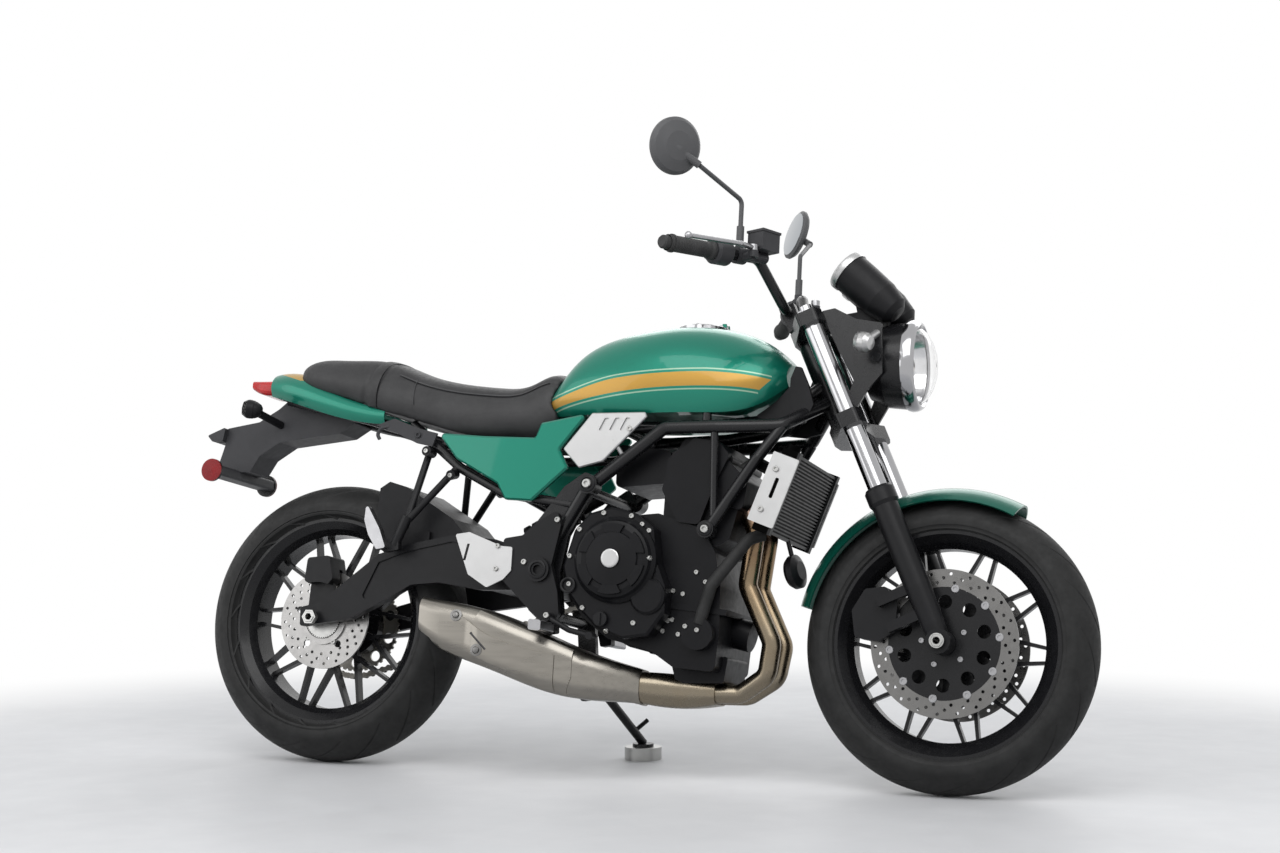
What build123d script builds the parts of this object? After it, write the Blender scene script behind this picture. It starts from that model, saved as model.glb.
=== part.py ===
from build123d import *
import os
from functools import cache
from math import asin, atan2, cos, hypot, pi, radians, sin, sqrt

# Driving dimensions, in millimetres and degrees
# Bike frame while building: x forward, y left, z up, rear axle above the origin
WHEELBASE = 1405.0
RAKE = 24.0
TRAIL = 100.0
LEAN = 9.2
FRONT_TYRE_R = 300.0
FRONT_TYRE_W = 120.0
REAR_TYRE_R = 312.0
REAR_TYRE_W = 160.0
FRONT_SPOKE_PHASE = 14.0
REAR_SPOKE_PHASE = 16.0
RIM_LIP_R = 232.0
BEAD_SEAT_R = 218.0
FRONT_RIM_W = 104.0
REAR_RIM_W = 122.0
SPOKE_PAIRS = 10
SPOKE_FORK_R = 94.0
SPOKE_TIP_GAP = 4.0
FRONT_DISC_R = 150.0
FRONT_DISC_Y = 66.0
REAR_DISC_R = 110.0
REAR_DISC_Y = 70.0
DISC_T = 5.0
AXLE_R = 10.0
AXLE_BORE_R = 7.0
RUNNING_GAP = 0.1
FORK_Y = 104.0
FORK_TUBE_R = 20.5
FORK_TOP = 752.0
SLIDER_TOP = 338.0
SLIDER_R = 27.0
LOWER_YOKE = 476.0
UPPER_YOKE = 712.0
YOKE_T = 28.0
HEAD_R = 31.0
BAR_R = 11.1
BAR_HALF_W = 398.0
GRIP_R = 16.0
HEADLIGHT_R = 94.0
FRAME_TUBE_R = 14.0
SWINGARM_PIVOT_X = 540.0
SWINGARM_PIVOT_Z = 426.0
CHAIN_Y = 92.0
CHAIN_PITCH = 15.875
REAR_SPROCKET_R = 116.0
FRONT_SPROCKET_R = 38.0
FRONT_SPROCKET_X = 622.0
FRONT_SPROCKET_Z = 432.0
ENGINE_HALF_W = 116.0
CLUTCH_R = 84.0
CLUTCH_FACE_Y = 196.0
TANK_HALF_W = 152.0
SEAT_HALF_W = 128.0
HEADER_R = 20.0
PUCK_R = 42.0
PUCK_H = 28.0
STAND_FOLD = 100.0
PERCH_AT = 196.0
RIGHT_MIRROR = (890.0, -385.0, 1267.0)
LEFT_MIRROR = (926.0, -385.0, 1292.0)
MIRROR_FACE = (0.77, -0.60, -0.20)
CAP_R = 40.0
NECK_R = 24.0
HINGE_PIN_R = 2.0
HINGE_EYE_R = 4.5

# Where the origin sits: on the floor under the middle of the parked machine
ORIGIN_X = 674.6
ORIGIN_Y = 192.7
TYRE_CROWN_LIFT = 1.14

# Values worked out from the driving dimensions
# The nose outlines are drawn for this wheelbase and move with the front axle
DRAWN_WHEELBASE = 1405.0
NOSE = WHEELBASE - DRAWN_WHEELBASE
REAR_AXLE = (0.0, 0.0, REAR_TYRE_R)
FRONT_AXLE = (WHEELBASE, 0.0, FRONT_TYRE_R)
RAKE_SIN = sin(radians(RAKE))
RAKE_COS = cos(radians(RAKE))
AXLE_ALONG = TRAIL * RAKE_SIN + FRONT_TYRE_R * RAKE_COS
FORK_OFFSET = FRONT_TYRE_R * RAKE_SIN - TRAIL * RAKE_COS
STEERING = Plane(
    origin=(WHEELBASE + TRAIL - AXLE_ALONG * RAKE_SIN, 0, AXLE_ALONG * RAKE_COS),
    x_dir=(RAKE_COS, 0, RAKE_SIN),
    z_dir=(-RAKE_SIN, 0, RAKE_COS),
)
PIVOT = (SWINGARM_PIVOT_X, 0.0, SWINGARM_PIVOT_Z)
STAND_PIVOT = (585.0, 128.0, 205.0)
STAND_AXIS = (0.0, 0.61, 0.79)
CAP_CENTRE = (842.0, 0.0, 966.0)
CAP_HINGE = (CAP_CENTRE[0] + CAP_R + 8, 0.0, CAP_CENTRE[2] + 13)


# Shared shapes
def rod(start, end, radius):
    axis = Vector(*end) - Vector(*start)
    base = Cylinder(radius, axis.length, align=(Align.CENTER, Align.CENTER, Align.MIN))
    return Plane(origin=start, z_dir=axis) * base


def tube(points, radius, bend):
    path = FilletPolyline(*points, radius=bend)
    section = Plane(origin=path @ 0, z_dir=path % 0) * Circle(radius)
    return sweep(section, path=path)


def slab(outline, y_low, y_high, corner=0.0):
    face = make_face(Polyline(*[(x, y_low, z) for x, z in outline], close=True))
    if corner:
        face = fillet(face.vertices(), corner)
    return extrude(face, amount=y_high - y_low, dir=(0, 1, 0))


def at_nose(shape):
    return Pos(NOSE, 0, 0) * shape


def turned(profile, centre, axis):
    face = make_face(Polyline(*[(r, 0, h) for r, h in profile], close=True))
    return Plane(origin=centre, z_dir=axis) * revolve(face, Axis.Z)


def turned_y(profile, centre):
    face = make_face(Polyline(*[(0, y, r) for y, r in profile], close=True))
    return Pos(*centre) * revolve(face, Axis.Y)


def both_sides(shape):
    return shape + mirror(shape, about=Plane.XZ)


def joined(shapes):
    return Part() + list(shapes)


def on_steering(shape):
    return STEERING * shape


def oval_section(x, y, z, half_w, half_h, corner):
    plane = Plane(origin=(x, y, z), x_dir=(0, 1, 0), z_dir=(1, 0, 0))
    return plane * RectangleRounded(2 * half_w, 2 * half_h, corner)


def body_section(x, z_low, z_mid, z_top, w_low, w_mid, w_top):
    points = [
        (x, -w_low, z_low),
        (x, -w_mid, z_mid),
        (x, -w_top, 0.25 * z_mid + 0.75 * z_top),
        (x, 0, z_top),
        (x, w_top, 0.25 * z_mid + 0.75 * z_top),
        (x, w_mid, z_mid),
        (x, w_low, z_low),
    ]
    curve = Spline(*points)
    return make_face(Curve() + [curve, Line(points[-1], points[0])])


# Wheels
def tyre(axle, radius, width, rim_width, crown):
    half = width / 2
    edge = half - 4
    edge_r = radius - crown + sqrt(crown ** 2 - edge ** 2)
    bead = rim_width / 2 - 6.5
    lip = RIM_LIP_R + 1.5
    outline = Curve() + [
        ThreePointArc((0, -edge, edge_r), (0, 0, radius), (0, edge, edge_r)),
        ThreePointArc((0, edge, edge_r), (0, half, edge_r - 15), (0, bead + 8, lip)),
        Line((0, bead + 8, lip), (0, bead, lip)),
        Line((0, bead, lip), (0, bead, BEAD_SEAT_R + 0.2)),
        Line((0, bead, BEAD_SEAT_R + 0.2), (0, -bead, BEAD_SEAT_R + 0.2)),
        Line((0, -bead, BEAD_SEAT_R + 0.2), (0, -bead, lip)),
        Line((0, -bead, lip), (0, -bead - 8, lip)),
        ThreePointArc((0, -bead - 8, lip), (0, -half, edge_r - 15), (0, -edge, edge_r)),
    ]
    return Pos(*axle) * revolve(make_face(outline), Axis.Y)


def rim_barrel(width):
    half = width / 2
    outer = [(-half, RIM_LIP_R), (6 - half, RIM_LIP_R), (6 - half, BEAD_SEAT_R),
             (22 - half, BEAD_SEAT_R - 1), (30 - half, BEAD_SEAT_R - 14)]
    inner = [(30 - half, BEAD_SEAT_R - 22), (14 - half, BEAD_SEAT_R - 10), (-half, RIM_LIP_R - 8)]
    top = outer + [(-y, r) for y, r in reversed(outer)]
    low = [(-y, r) for y, r in reversed(inner)] + inner
    return turned_y(top + low, (0, 0, 0))


def bar_between(a, b, wide_a, wide_b, depth):
    across = Vector(0, 1, 0).cross((b - a).normalized())
    outline = [a + across * wide_a, b + across * wide_b, b - across * wide_b, a - across * wide_a]
    face = make_face(Polyline(*outline, close=True))
    return Pos(0, -depth / 2, 0) * extrude(face, amount=depth, dir=(0, 1, 0))


def spokes(hub_r, depth, phase):
    reach = BEAD_SEAT_R - 17
    solids = []
    for index in range(SPOKE_PAIRS):
        middle = radians(phase + index * 360 / SPOKE_PAIRS)
        root = Vector(hub_r * cos(middle), 0, hub_r * sin(middle))
        fork = Vector(SPOKE_FORK_R * cos(middle), 0, SPOKE_FORK_R * sin(middle))
        solids.append(bar_between(root, fork, 8, 6.5, depth))
        for side in (-1, 1):
            angle = middle + side * radians(180 / SPOKE_PAIRS - SPOKE_TIP_GAP)
            tip = Vector(reach * cos(angle), 0, reach * sin(angle))
            solids.append(bar_between(fork - (tip - fork) * 0.05, tip, 4.5, 3.5, depth))
    return solids


def front_rim():
    hub = turned_y([(-60, 5), (-60, 34), (-40, 40), (40, 40), (60, 34), (60, 5)], (0, 0, 0))
    wheel = rim_barrel(FRONT_RIM_W) + spokes(38, 20, FRONT_SPOKE_PHASE) + [hub]
    carrier_r = FRONT_DISC_R - 36.5
    y_in = FRONT_DISC_Y - DISC_T / 2
    carrier = turned_y([(58, 20), (58, 52), (y_in, 58), (y_in, carrier_r),
                        (y_in + DISC_T, carrier_r), (y_in + DISC_T, 20)], (0, 0, 0))
    window = Pos(0, 0, 84) * Rot(90, 0, 0) * Cylinder(14, 300)
    carrier -= [Rot(0, k * 36, 0) * window for k in range(10)]
    wheel += [carrier, mirror(carrier, about=Plane.XZ)]
    bore = Rot(90, 0, 0) * Cylinder(AXLE_R + RUNNING_GAP, 400)
    return Pos(*FRONT_AXLE) * (wheel - bore)


def rear_rim():
    hub = turned_y([(-64, 5), (-64, 44), (-40, 50), (56, 50), (56, 70), (82, 70), (82, 5)], (0, 0, 0))
    wheel = rim_barrel(REAR_RIM_W) + spokes(48, 22, REAR_SPOKE_PHASE) + [hub]
    bore = Rot(90, 0, 0) * Cylinder(AXLE_R + RUNNING_GAP, 400)
    return Pos(*REAR_AXLE) * (wheel - bore)


def drilled_ring(outer, inner, holes, rows):
    ring = Rot(90, 0, 0) * (Cylinder(outer, DISC_T) - Cylinder(inner, 2 * DISC_T))
    drill = Rot(90, 0, 0) * Cylinder(3.5, 3 * DISC_T)
    cuts = []
    for row in range(rows):
        radius = inner + (outer - inner) * (row + 1) / (rows + 1)
        for k in range(holes):
            cuts.append(Rot(0, (k + 0.37 * row) * 360 / holes, 0) * Pos(radius, 0, 0) * drill)
    return ring - cuts


def front_discs():
    ring = drilled_ring(FRONT_DISC_R, FRONT_DISC_R - 36, 22, 3)
    return Pos(*FRONT_AXLE) * (Pos(0, FRONT_DISC_Y, 0) * ring + Pos(0, -FRONT_DISC_Y, 0) * ring)


def rear_disc():
    ring = drilled_ring(REAR_DISC_R, 66, 20, 3) + Rot(90, 0, 0) * (Cylinder(68, DISC_T) - Cylinder(40, 20))
    window = Pos(0, 0, 66) * Rot(90, 0, 0) * Cylinder(8, 40)
    ring -= [Rot(0, k * 72, 0) * window for k in range(5)]
    lift = -REAR_DISC_Y + DISC_T / 2
    tone = turned_y([(-REAR_DISC_Y - 8, 44), (-REAR_DISC_Y - 8, 56), (-REAR_DISC_Y - 2, 56),
                     (-REAR_DISC_Y - 2, 44)], (0, 0, 0))
    seat = turned_y([(-64, 26), (-64, 42), (lift, 42), (lift, 26)], (0, 0, 0))
    return Pos(*REAR_AXLE) * (Pos(0, -REAR_DISC_Y, 0) * ring + [tone, seat])


def rear_sprocket():
    tip = REAR_SPROCKET_R - 11
    blank = Rot(90, 0, 0) * (Cylinder(tip, 6) - Cylinder(60, 20))
    gap = Rot(90, 0, 0) * Cylinder(4.2, 20)
    window = Pos(0, 0, 84) * Rot(90, 0, 0) * Cylinder(12, 20)
    cuts = [Rot(0, k * 360 / 46, 0) * Pos(tip, 0, 0) * gap for k in range(46)]
    cuts += [Rot(0, k * 36, 0) * window for k in range(10)]
    hub = turned_y([(82 - CHAIN_Y, 50), (82 - CHAIN_Y, 69), (3, 69), (3, 50)], (0, 0, 0))
    return Pos(0, CHAIN_Y, REAR_TYRE_R) * (blank + hub - cuts)


def front_axle():
    reach = FORK_Y + SLIDER_R + 6
    shaft = Rot(90, 0, 0) * Cylinder(AXLE_R, 2 * reach)
    head = Pos(0, -reach - 3, 0) * Rot(90, 0, 0) * Cylinder(15, 6)
    bore = Rot(90, 0, 0) * Cylinder(AXLE_BORE_R, 4 * reach)
    return Pos(*FRONT_AXLE) * (shaft + head + mirror(head, about=Plane.XZ) - bore)


def rear_axle():
    reach = 138.0
    shaft = Rot(90, 0, 0) * Cylinder(AXLE_R, 2 * reach)
    nut = Pos(0, -reach, 0) * Rot(90, 0, 0) * extrude(RegularPolygon(17, 6), amount=6, both=True)
    bore = Rot(90, 0, 0) * Cylinder(AXLE_BORE_R, 4 * reach)
    return Pos(*REAR_AXLE) * (shaft + nut + mirror(nut, about=Plane.XZ) - bore)


# Front end, drawn along the steering axis
@cache
def fork_tubes():
    leg = Pos(FORK_OFFSET, -FORK_Y, SLIDER_TOP - 60) * Cylinder(
        FORK_TUBE_R, FORK_TOP - SLIDER_TOP + 54, align=(Align.CENTER, Align.CENTER, Align.MIN))
    cap = Pos(FORK_OFFSET, -FORK_Y, FORK_TOP - 6) * Cylinder(
        14, 12, align=(Align.CENTER, Align.CENTER, Align.MIN))
    return on_steering(both_sides(leg + cap))


@cache
def fork_sliders():
    profile = [(0, -16), (20, -16), (SLIDER_R - 3, 40), (SLIDER_R, 120), (SLIDER_R, SLIDER_TOP - 40),
               (SLIDER_R + 4, SLIDER_TOP - 32), (SLIDER_R + 4, SLIDER_TOP - 6), (SLIDER_R, SLIDER_TOP),
               (FORK_TUBE_R + 0.2, SLIDER_TOP), (FORK_TUBE_R + 0.2, SLIDER_TOP - 66),
               (0, SLIDER_TOP - 66)]
    leg = turned(profile, (FORK_OFFSET, -FORK_Y, 0), (0, 0, 1))
    boss = Pos(FORK_OFFSET, -FORK_Y, 0) * Rot(90, 0, 0) * Cylinder(25, 2 * SLIDER_R)
    lug = Pos(FORK_OFFSET - 50, -FORK_Y, 122) * Box(76, 22, 20)
    lug_low = Pos(FORK_OFFSET - 50, -FORK_Y, 66) * Box(76, 22, 20)
    bore = Pos(FORK_OFFSET, 0, 0) * Rot(90, 0, 0) * Cylinder(AXLE_R, 600)
    return on_steering(both_sides(leg + [boss, lug, lug_low] - bore))


def yoke(height, thick):
    outline = [(-34, -26), (-34, 26), (FORK_OFFSET - 20, FORK_Y + 34), (FORK_OFFSET + 22, FORK_Y + 34),
               (FORK_OFFSET + 30, FORK_Y), (FORK_OFFSET + 12, 40), (FORK_OFFSET + 12, -40),
               (FORK_OFFSET + 30, -FORK_Y), (FORK_OFFSET + 22, -FORK_Y - 34),
               (FORK_OFFSET - 20, -FORK_Y - 34)]
    face = fillet(make_face(Polyline(*outline, close=True)).vertices(), 8)
    plate = Pos(0, 0, height) * extrude(face, amount=thick)
    holes = [Pos(FORK_OFFSET, s * FORK_Y, height) * Cylinder(FORK_TUBE_R, 4 * thick) for s in (-1, 1)]
    return plate - holes


@cache
def fork_yokes():
    low = yoke(LOWER_YOKE, YOKE_T + 4)
    high = yoke(UPPER_YOKE, YOKE_T)
    stem = Pos(0, 0, LOWER_YOKE + 10) * Cylinder(
        15, UPPER_YOKE - LOWER_YOKE, align=(Align.CENTER, Align.CENTER, Align.MIN))
    race = Cylinder(HEAD_R - 6 - RUNNING_GAP, 14)
    races = [Pos(0, 0, LOWER_YOKE + YOKE_T + 11) * race, Pos(0, 0, UPPER_YOKE - 7) * race]
    nut = Pos(0, 0, UPPER_YOKE + YOKE_T) * extrude(RegularPolygon(17, 6), amount=10)
    risers = [Pos(-14, s * 44, UPPER_YOKE + YOKE_T + 12) * Box(30, 24, 28) for s in (-1, 1)]
    clamps = [Pos(-14, s * 44, UPPER_YOKE + YOKE_T + 40) * Box(34, 24, 30) for s in (-1, 1)]
    seat = Pos(-14, 0, UPPER_YOKE + YOKE_T + 40) * Rot(90, 0, 0) * Cylinder(BAR_R, 200)
    return on_steering(low + [high, stem, nut] + races + risers + clamps - seat)


def bar_points():
    clamp = STEERING.from_local_coords(Vector(-14, 0, UPPER_YOKE + YOKE_T + 40))
    return [
        (clamp.X, -10.0, clamp.Z), (clamp.X, -84.0, clamp.Z),
        (clamp.X - 36.0, -174.0, clamp.Z + 87.0), (clamp.X - 150.0, -BAR_HALF_W, clamp.Z + 65.0),
    ]


@cache
def handlebar():
    points = bar_points()
    half = tube(points, BAR_R, 38)
    clamp = points[0]
    middle = rod((clamp[0], -10.0, clamp[2]), (clamp[0], 10.0, clamp[2]), BAR_R)
    return both_sides(half) + middle


def along_bar(distance):
    tip = Vector(*bar_points()[-1])
    root = Vector(*bar_points()[-2])
    way = (root - tip).normalized()
    return tip + way * distance, way


def grips():
    start, way = along_bar(0)
    profile = [(BAR_R + 0.1, 0), (GRIP_R + 3, 0), (GRIP_R + 3, 4), (GRIP_R - 1, 8), (GRIP_R, 20),
               (GRIP_R, 104), (GRIP_R + 4, 108), (GRIP_R + 4, 114), (BAR_R + 0.1, 114)]
    grip = turned(profile, start, way)
    weight = turned([(0, -26), (11, -26), (14, -22), (14, -8), (11, -0.2), (0, -0.2)], start, way)
    return both_sides(grip + weight)


def control_frame():
    perch, way = along_bar(PERCH_AT)
    ahead = way.cross(Vector(0, 0, 1)).normalized()
    return perch, way, ahead


def hand_controls():
    perch, way, ahead = control_frame()
    up = Vector(0, 0, 1)
    housing, _ = along_bar(116)
    switch = turned([(BAR_R + 0.1, 0), (22, 0), (27, 6), (27, 40), (22, 46), (BAR_R + 0.1, 46)], housing, way)
    clamp = turned([(BAR_R + 0.1, -11), (18, -11), (18, 11), (BAR_R + 0.1, 11)], perch, way)
    arm = rod(perch + ahead * 15 - up * 6, perch + ahead * 40 - up * 6, 9)
    boss = rod(perch + ahead * 40 - up * 10, perch + ahead * 40 + up * 4, 11)
    mount = rod(perch + up * 14, perch + up * 26, 9)
    pump = rod(perch + ahead * 25 + way * 8 - up * 4, perch + ahead * 25 + way * 52 - up * 4, 11)
    pot = Plane(origin=perch + ahead * 34 + way * 36 + up * 26, x_dir=way, z_dir=up) * Box(50, 44, 40)
    lid = Plane(origin=perch + ahead * 34 + way * 36 + up * 47, x_dir=way, z_dir=up) * Box(54, 48, 5)
    right = switch + (clamp + [arm, boss, mount, pump, pot, lid])
    left = mirror(switch + (clamp + [arm, boss, mount]), about=Plane.XZ)
    return right + left - handlebar()


def levers():
    perch, way, ahead = control_frame()
    up = Vector(0, 0, 1)
    pivot = perch + ahead * 40
    start = pivot + up * 4.2
    knee = start - way * 52 + ahead * 14 + up * 6
    tip = start - way * 196 + ahead * 11 + up * 4
    blade = rod(start + up * 6, knee, 5.6) + [rod(knee, tip, 5.2)]
    blade += [Pos(*knee) * Sphere(6.2), Pos(*tip) * Sphere(8)]
    lever = blade + rod(start, start + up * 12, 10)
    return both_sides(lever)


def mirror_unit(head):
    perch, way, ahead = control_frame()
    up = Vector(0, 0, 1)
    base = perch + up * 26
    joint = head + Vector(44, 30, -34)
    stem = rod(base, base + up * 36, 8)
    stem += tube([base + up * 30, base + up * 92, joint], 5, 14)
    dish = turned([(0, -7), (53, -7), (59, -3), (59, 3), (52, 10), (30, 17), (0, 19)], head, MIRROR_FACE)
    knuckle = rod(joint, head + Vector(14, 8, -12), 8)
    return stem + [dish, knuckle]


def mirrors():
    shift = Vector(NOSE, 0, 0)
    left = mirror(mirror_unit(Vector(*LEFT_MIRROR) + shift), about=Plane.XZ)
    return mirror_unit(Vector(*RIGHT_MIRROR) + shift) + left


@cache
def headlight_shell():
    profile = [(0, 1206), (44, 1208), (72, 1222), (HEADLIGHT_R - 6, 1258), (HEADLIGHT_R - 2, 1300),
               (HEADLIGHT_R - 8, 1300), (HEADLIGHT_R - 10, 1262), (60, 1228), (0, 1216)]
    shell = turned(profile, (0, 0, 884), (1, 0, 0))
    ear = slab([(1170, 902), (1130, 984), (1160, 990), (1206, 966), (1262, 956), (1266, 850), (1236, 815),
                (1212, 772), (1186, 772), (1206, 835)], -HEADLIGHT_R - 4, -HEADLIGHT_R + 4, 4)
    bolt = rod((1252, -HEADLIGHT_R - 8, 884), (1252, -HEADLIGHT_R + 24, 884), 11)
    ears = at_nose(both_sides(ear + bolt)) - fork_yokes() - fork_tubes()
    return at_nose(shell) + ears


def headlight_lens():
    ring = turned([(HEADLIGHT_R - 14, 1300.2), (HEADLIGHT_R + 1, 1300.2), (HEADLIGHT_R + 3, 1308),
                   (HEADLIGHT_R, 1322), (HEADLIGHT_R - 8, 1328), (HEADLIGHT_R - 14, 1322)],
                  (0, 0, 884), (1, 0, 0))
    dome = turned([(0, 1314), (HEADLIGHT_R - 14, 1314), (HEADLIGHT_R - 14, 1324), (60, 1342),
                   (34, 1354), (0, 1358)], (0, 0, 884), (1, 0, 0))
    return at_nose(ring + dome)


def gauges():
    way = Vector(-0.75, 0, 0.66)
    profile = [(0, -144), (20, -142), (33, -130), (42, -92), (44, -40), (44, -2), (45.5, -2), (45.5, 11),
               (41, 13), (39, 6), (0, 6)]
    pods = [turned(profile, (1176, side * 48, 1079), way) for side in (-1, 1)]
    bridge = slab([(1188, 1010), (1226, 1062), (1270, 1010), (1250, 976), (1196, 976)], -34, 34, 4)
    post = slab([(1100, 958), (1196, 980), (1204, 1002), (1096, 984)], -20, 20)
    return at_nose(joined(pods + [bridge, post])) - fork_yokes()


def front_indicators():
    stalk = rod((1252, -HEADLIGHT_R - 4.9, 934), (1243, -142, 910), 8)
    lamp = turned([(0, -20), (13, -18), (20, -6), (20, 6), (14, 16), (0, 19)], (1240, -154, 903),
                  (0.9, -0.25, -0.2))
    return at_nose(both_sides(stalk + lamp)) - headlight_shell()


def front_fender():
    crown = FRONT_TYRE_R + 24
    half = FRONT_TYRE_W / 2 + 8
    outer = ThreePointArc((0, -half, crown - 32), (0, 0, crown), (0, half, crown - 32))
    inner = ThreePointArc((0, half - 3.5, crown - 34), (0, 0, crown - 4), (0, 3.5 - half, crown - 34))
    sides = [Line(outer @ 1, inner @ 0), Line(inner @ 1, outer @ 0)]
    face = Rot(0, 27, 0) * make_face(Curve() + [outer, inner] + sides)
    shell = revolve(face, Axis.Y, revolution_arc=-104)
    tab = both_sides(on_steering(Pos(FORK_OFFSET, -half - 2, 298) * Box(34, 24, 24)))
    return Pos(*FRONT_AXLE) * shell + (tab - fork_sliders())


def front_calipers():
    outline = [(-178, 6), (-186, 60), (-160, 104), (-118, 110), (-92, 78), (-96, 20), (-130, -2)]
    face = fillet(make_face(Polyline(*[(x, 0, z) for x, z in outline], close=True)).vertices(), 8)
    wide = Pos(0, FRONT_DISC_Y - 28, 0) * extrude(face, amount=FORK_Y - 11.05 - FRONT_DISC_Y + 28,
                                                  dir=(0, 1, 0))
    slot = Rot(90, 0, 0) * Cylinder(FRONT_DISC_R + 6, DISC_T + 10)
    body = wide - Pos(0, FRONT_DISC_Y, 0) * slot
    wheel_room = Rot(90, 0, 0) * Cylinder(FRONT_DISC_R - 30, 2 * FRONT_DISC_Y)
    body -= wheel_room
    return Pos(*FRONT_AXLE) * both_sides(body)


# Frame and running gear
@cache
def frame():
    head = on_steering(Pos(0, 0, LOWER_YOKE + YOKE_T + 8) * Cylinder(
        HEAD_R, UPPER_YOKE - LOWER_YOKE - YOKE_T - 12, align=(Align.CENTER, Align.CENTER, Align.MIN)))
    bore = on_steering(Pos(0, 0, LOWER_YOKE) * Cylinder(
        HEAD_R - 6, UPPER_YOKE, align=(Align.CENTER, Align.CENTER, Align.MIN)))
    main = tube([(1136 + NOSE, -14, 806), (1060 + NOSE, -118, 738), (930, -140, 733), (812, -140, 731),
                 (640, -136, 598), (566, -132, 470)], FRAME_TUBE_R, 30)
    upper = tube([(1120 + NOSE, -14, 842), (1030 + NOSE, -60, 760), (880, -80, 742), (700, -104, 738)],
                 13, 40)
    plate = slab([(662, 604), (640, 640), (590, 606), (524, 520), (500, 430), (524, 340), (572, 300),
                  (604, 330), (592, 420), (606, 500)], -136, -122, 10)
    knee = rod((652, -162, 608), (652, -128, 608), 21)
    bridge = rod((566, -128, 330), (566, 128, 330), 12)
    cross = rod((700, -104, 738), (700, 104, 738), 11)
    shock_tube = rod((640, -136, 598), (640, 136, 598), 12)
    shaft = rod((PIVOT[0], -136, PIVOT[2]), (PIVOT[0], 136, PIVOT[2]), 12)
    pad = rod((900, -126, 733), (900, -126, 767), 10) - fuel_tank()
    half = main + [upper, plate, pad, knee]
    return both_sides(half) + [head, bridge, cross, shock_tube, shaft, stand_bracket()] - bore


@cache
def engine_hangers():
    down = tube([(1062, -116, 736), (1016, -130, 668), (914, -128, 516)], 12, 20)
    brace = rod((922, -138, 733), (926, -128, 530), 8)
    mount = rod((914, -146, 516), (914, -ENGINE_HALF_W - 0.2, 516), 18)
    return both_sides(down + [brace, mount]) - frame()


@cache
def subframe():
    rail = tube([(720, -104, 738), (610, -104, 700), (330, -96, 694), (90, -80, 762), (-140, -66, 814)],
                11, 60)
    lower = tube([(612, -128, 566), (446, -122, 592), (330, -112, 650), (196, -90, 752)], 11, 40)
    tie = rod((-110, -68, 808), (-110, 68, 808), 10)
    return both_sides(rail + lower) + tie - frame()


@cache
def swingarm():
    right = [(-34, 292), (-36, 334), (14, 348), (64, 388), (149, 456), (208, 476), (325, 500), (430, 492),
             (560, 452), (566, 400), (520, 384), (399, 382), (300, 396), (234, 390), (168, 352), (90, 312)]
    left = [(-34, 292), (-36, 334), (60, 352), (300, 420), (440, 470), (560, 452), (566, 400), (520, 384),
            (300, 352), (60, 296)]
    pocket = slab([(110, 352), (150, 438), (215, 462), (325, 486), (425, 478), (520, 446), (520, 404),
                   (400, 398), (300, 412), (228, 404), (164, 368)], -130, -116, 8)
    arms = [slab(right, -120, -96, 6) - pocket, slab(left, 103, 122, 6)]
    yoke_block = slab([(395, 386), (395, 486), (470, 490), (560, 452), (566, 400), (520, 384)], -100, 78, 6)
    bridge = slab([(395, 388), (395, 438), (566, 442), (562, 400), (520, 384)], 70, 110, 4)
    gap = rod((PIVOT[0], -300, PIVOT[2]), (PIVOT[0], 300, PIVOT[2]), 12 + RUNNING_GAP)
    axle = rod((0, -300, REAR_TYRE_R), (0, 300, REAR_TYRE_R), AXLE_R)
    room = Pos(0, 0, REAR_TYRE_R) * Rot(90, 0, 0) * Cylinder(REAR_TYRE_R + 10, REAR_TYRE_W + 20)
    return joined(arms + [yoke_block - room, bridge]) - gap - axle


def rear_shock():
    way = Vector(206, 0, 112)
    start = Vector(430, -30, 484)
    spring = []
    body = rod(start, start + way, 14)
    for k in range(7):
        a = start + way * (0.2 + 0.09 * k)
        spring.append(rod(a, a + way * 0.05, 26))
    return joined([body] + spring) - swingarm() - frame()


def rear_hugger():
    outline = [(124, 546), (127, 607), (150, 622), (193, 610), (310, 540), (340, 508), (262, 486), (216, 470),
               (160, 458)]
    body = slab(outline, -94, 94)
    room = tyre(REAR_AXLE, REAR_TYRE_R + 10, REAR_TYRE_W + 18, REAR_RIM_W, 96.0)
    hole = rod((0, -86, REAR_TYRE_R), (0, 86, REAR_TYRE_R), REAR_TYRE_R - 44)
    cheek = slab([(160, 458), (216, 470), (262, 486), (262, 510), (190, 500)], -104, -90, 2)
    return body - room - hole + cheek - swingarm() - chain_room()


def chain_room():
    return slab([(-140, 180), (-140, 452), (640, 500), (640, 380), (60, 180)], CHAIN_Y - 14, CHAIN_Y + 14)


def chain_loop():
    span_z = FRONT_SPROCKET_Z - REAR_TYRE_R
    span = hypot(FRONT_SPROCKET_X, span_z)
    tilt = atan2(span_z, FRONT_SPROCKET_X)
    ease = asin((REAR_SPROCKET_R - FRONT_SPROCKET_R) / span)
    up = tilt + pi / 2 - ease
    down = tilt - pi / 2 + ease
    rear = [(REAR_SPROCKET_R * cos(a), REAR_SPROCKET_R * sin(a)) for a in (up, tilt + pi, down)]
    nose = [(FRONT_SPROCKET_X + FRONT_SPROCKET_R * cos(a), span_z + FRONT_SPROCKET_R * sin(a))
            for a in (down, tilt, up)]
    return Wire([ThreePointArc(*rear), Line(rear[2], nose[0]), ThreePointArc(*nose), Line(nose[2], rear[0])])


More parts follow.
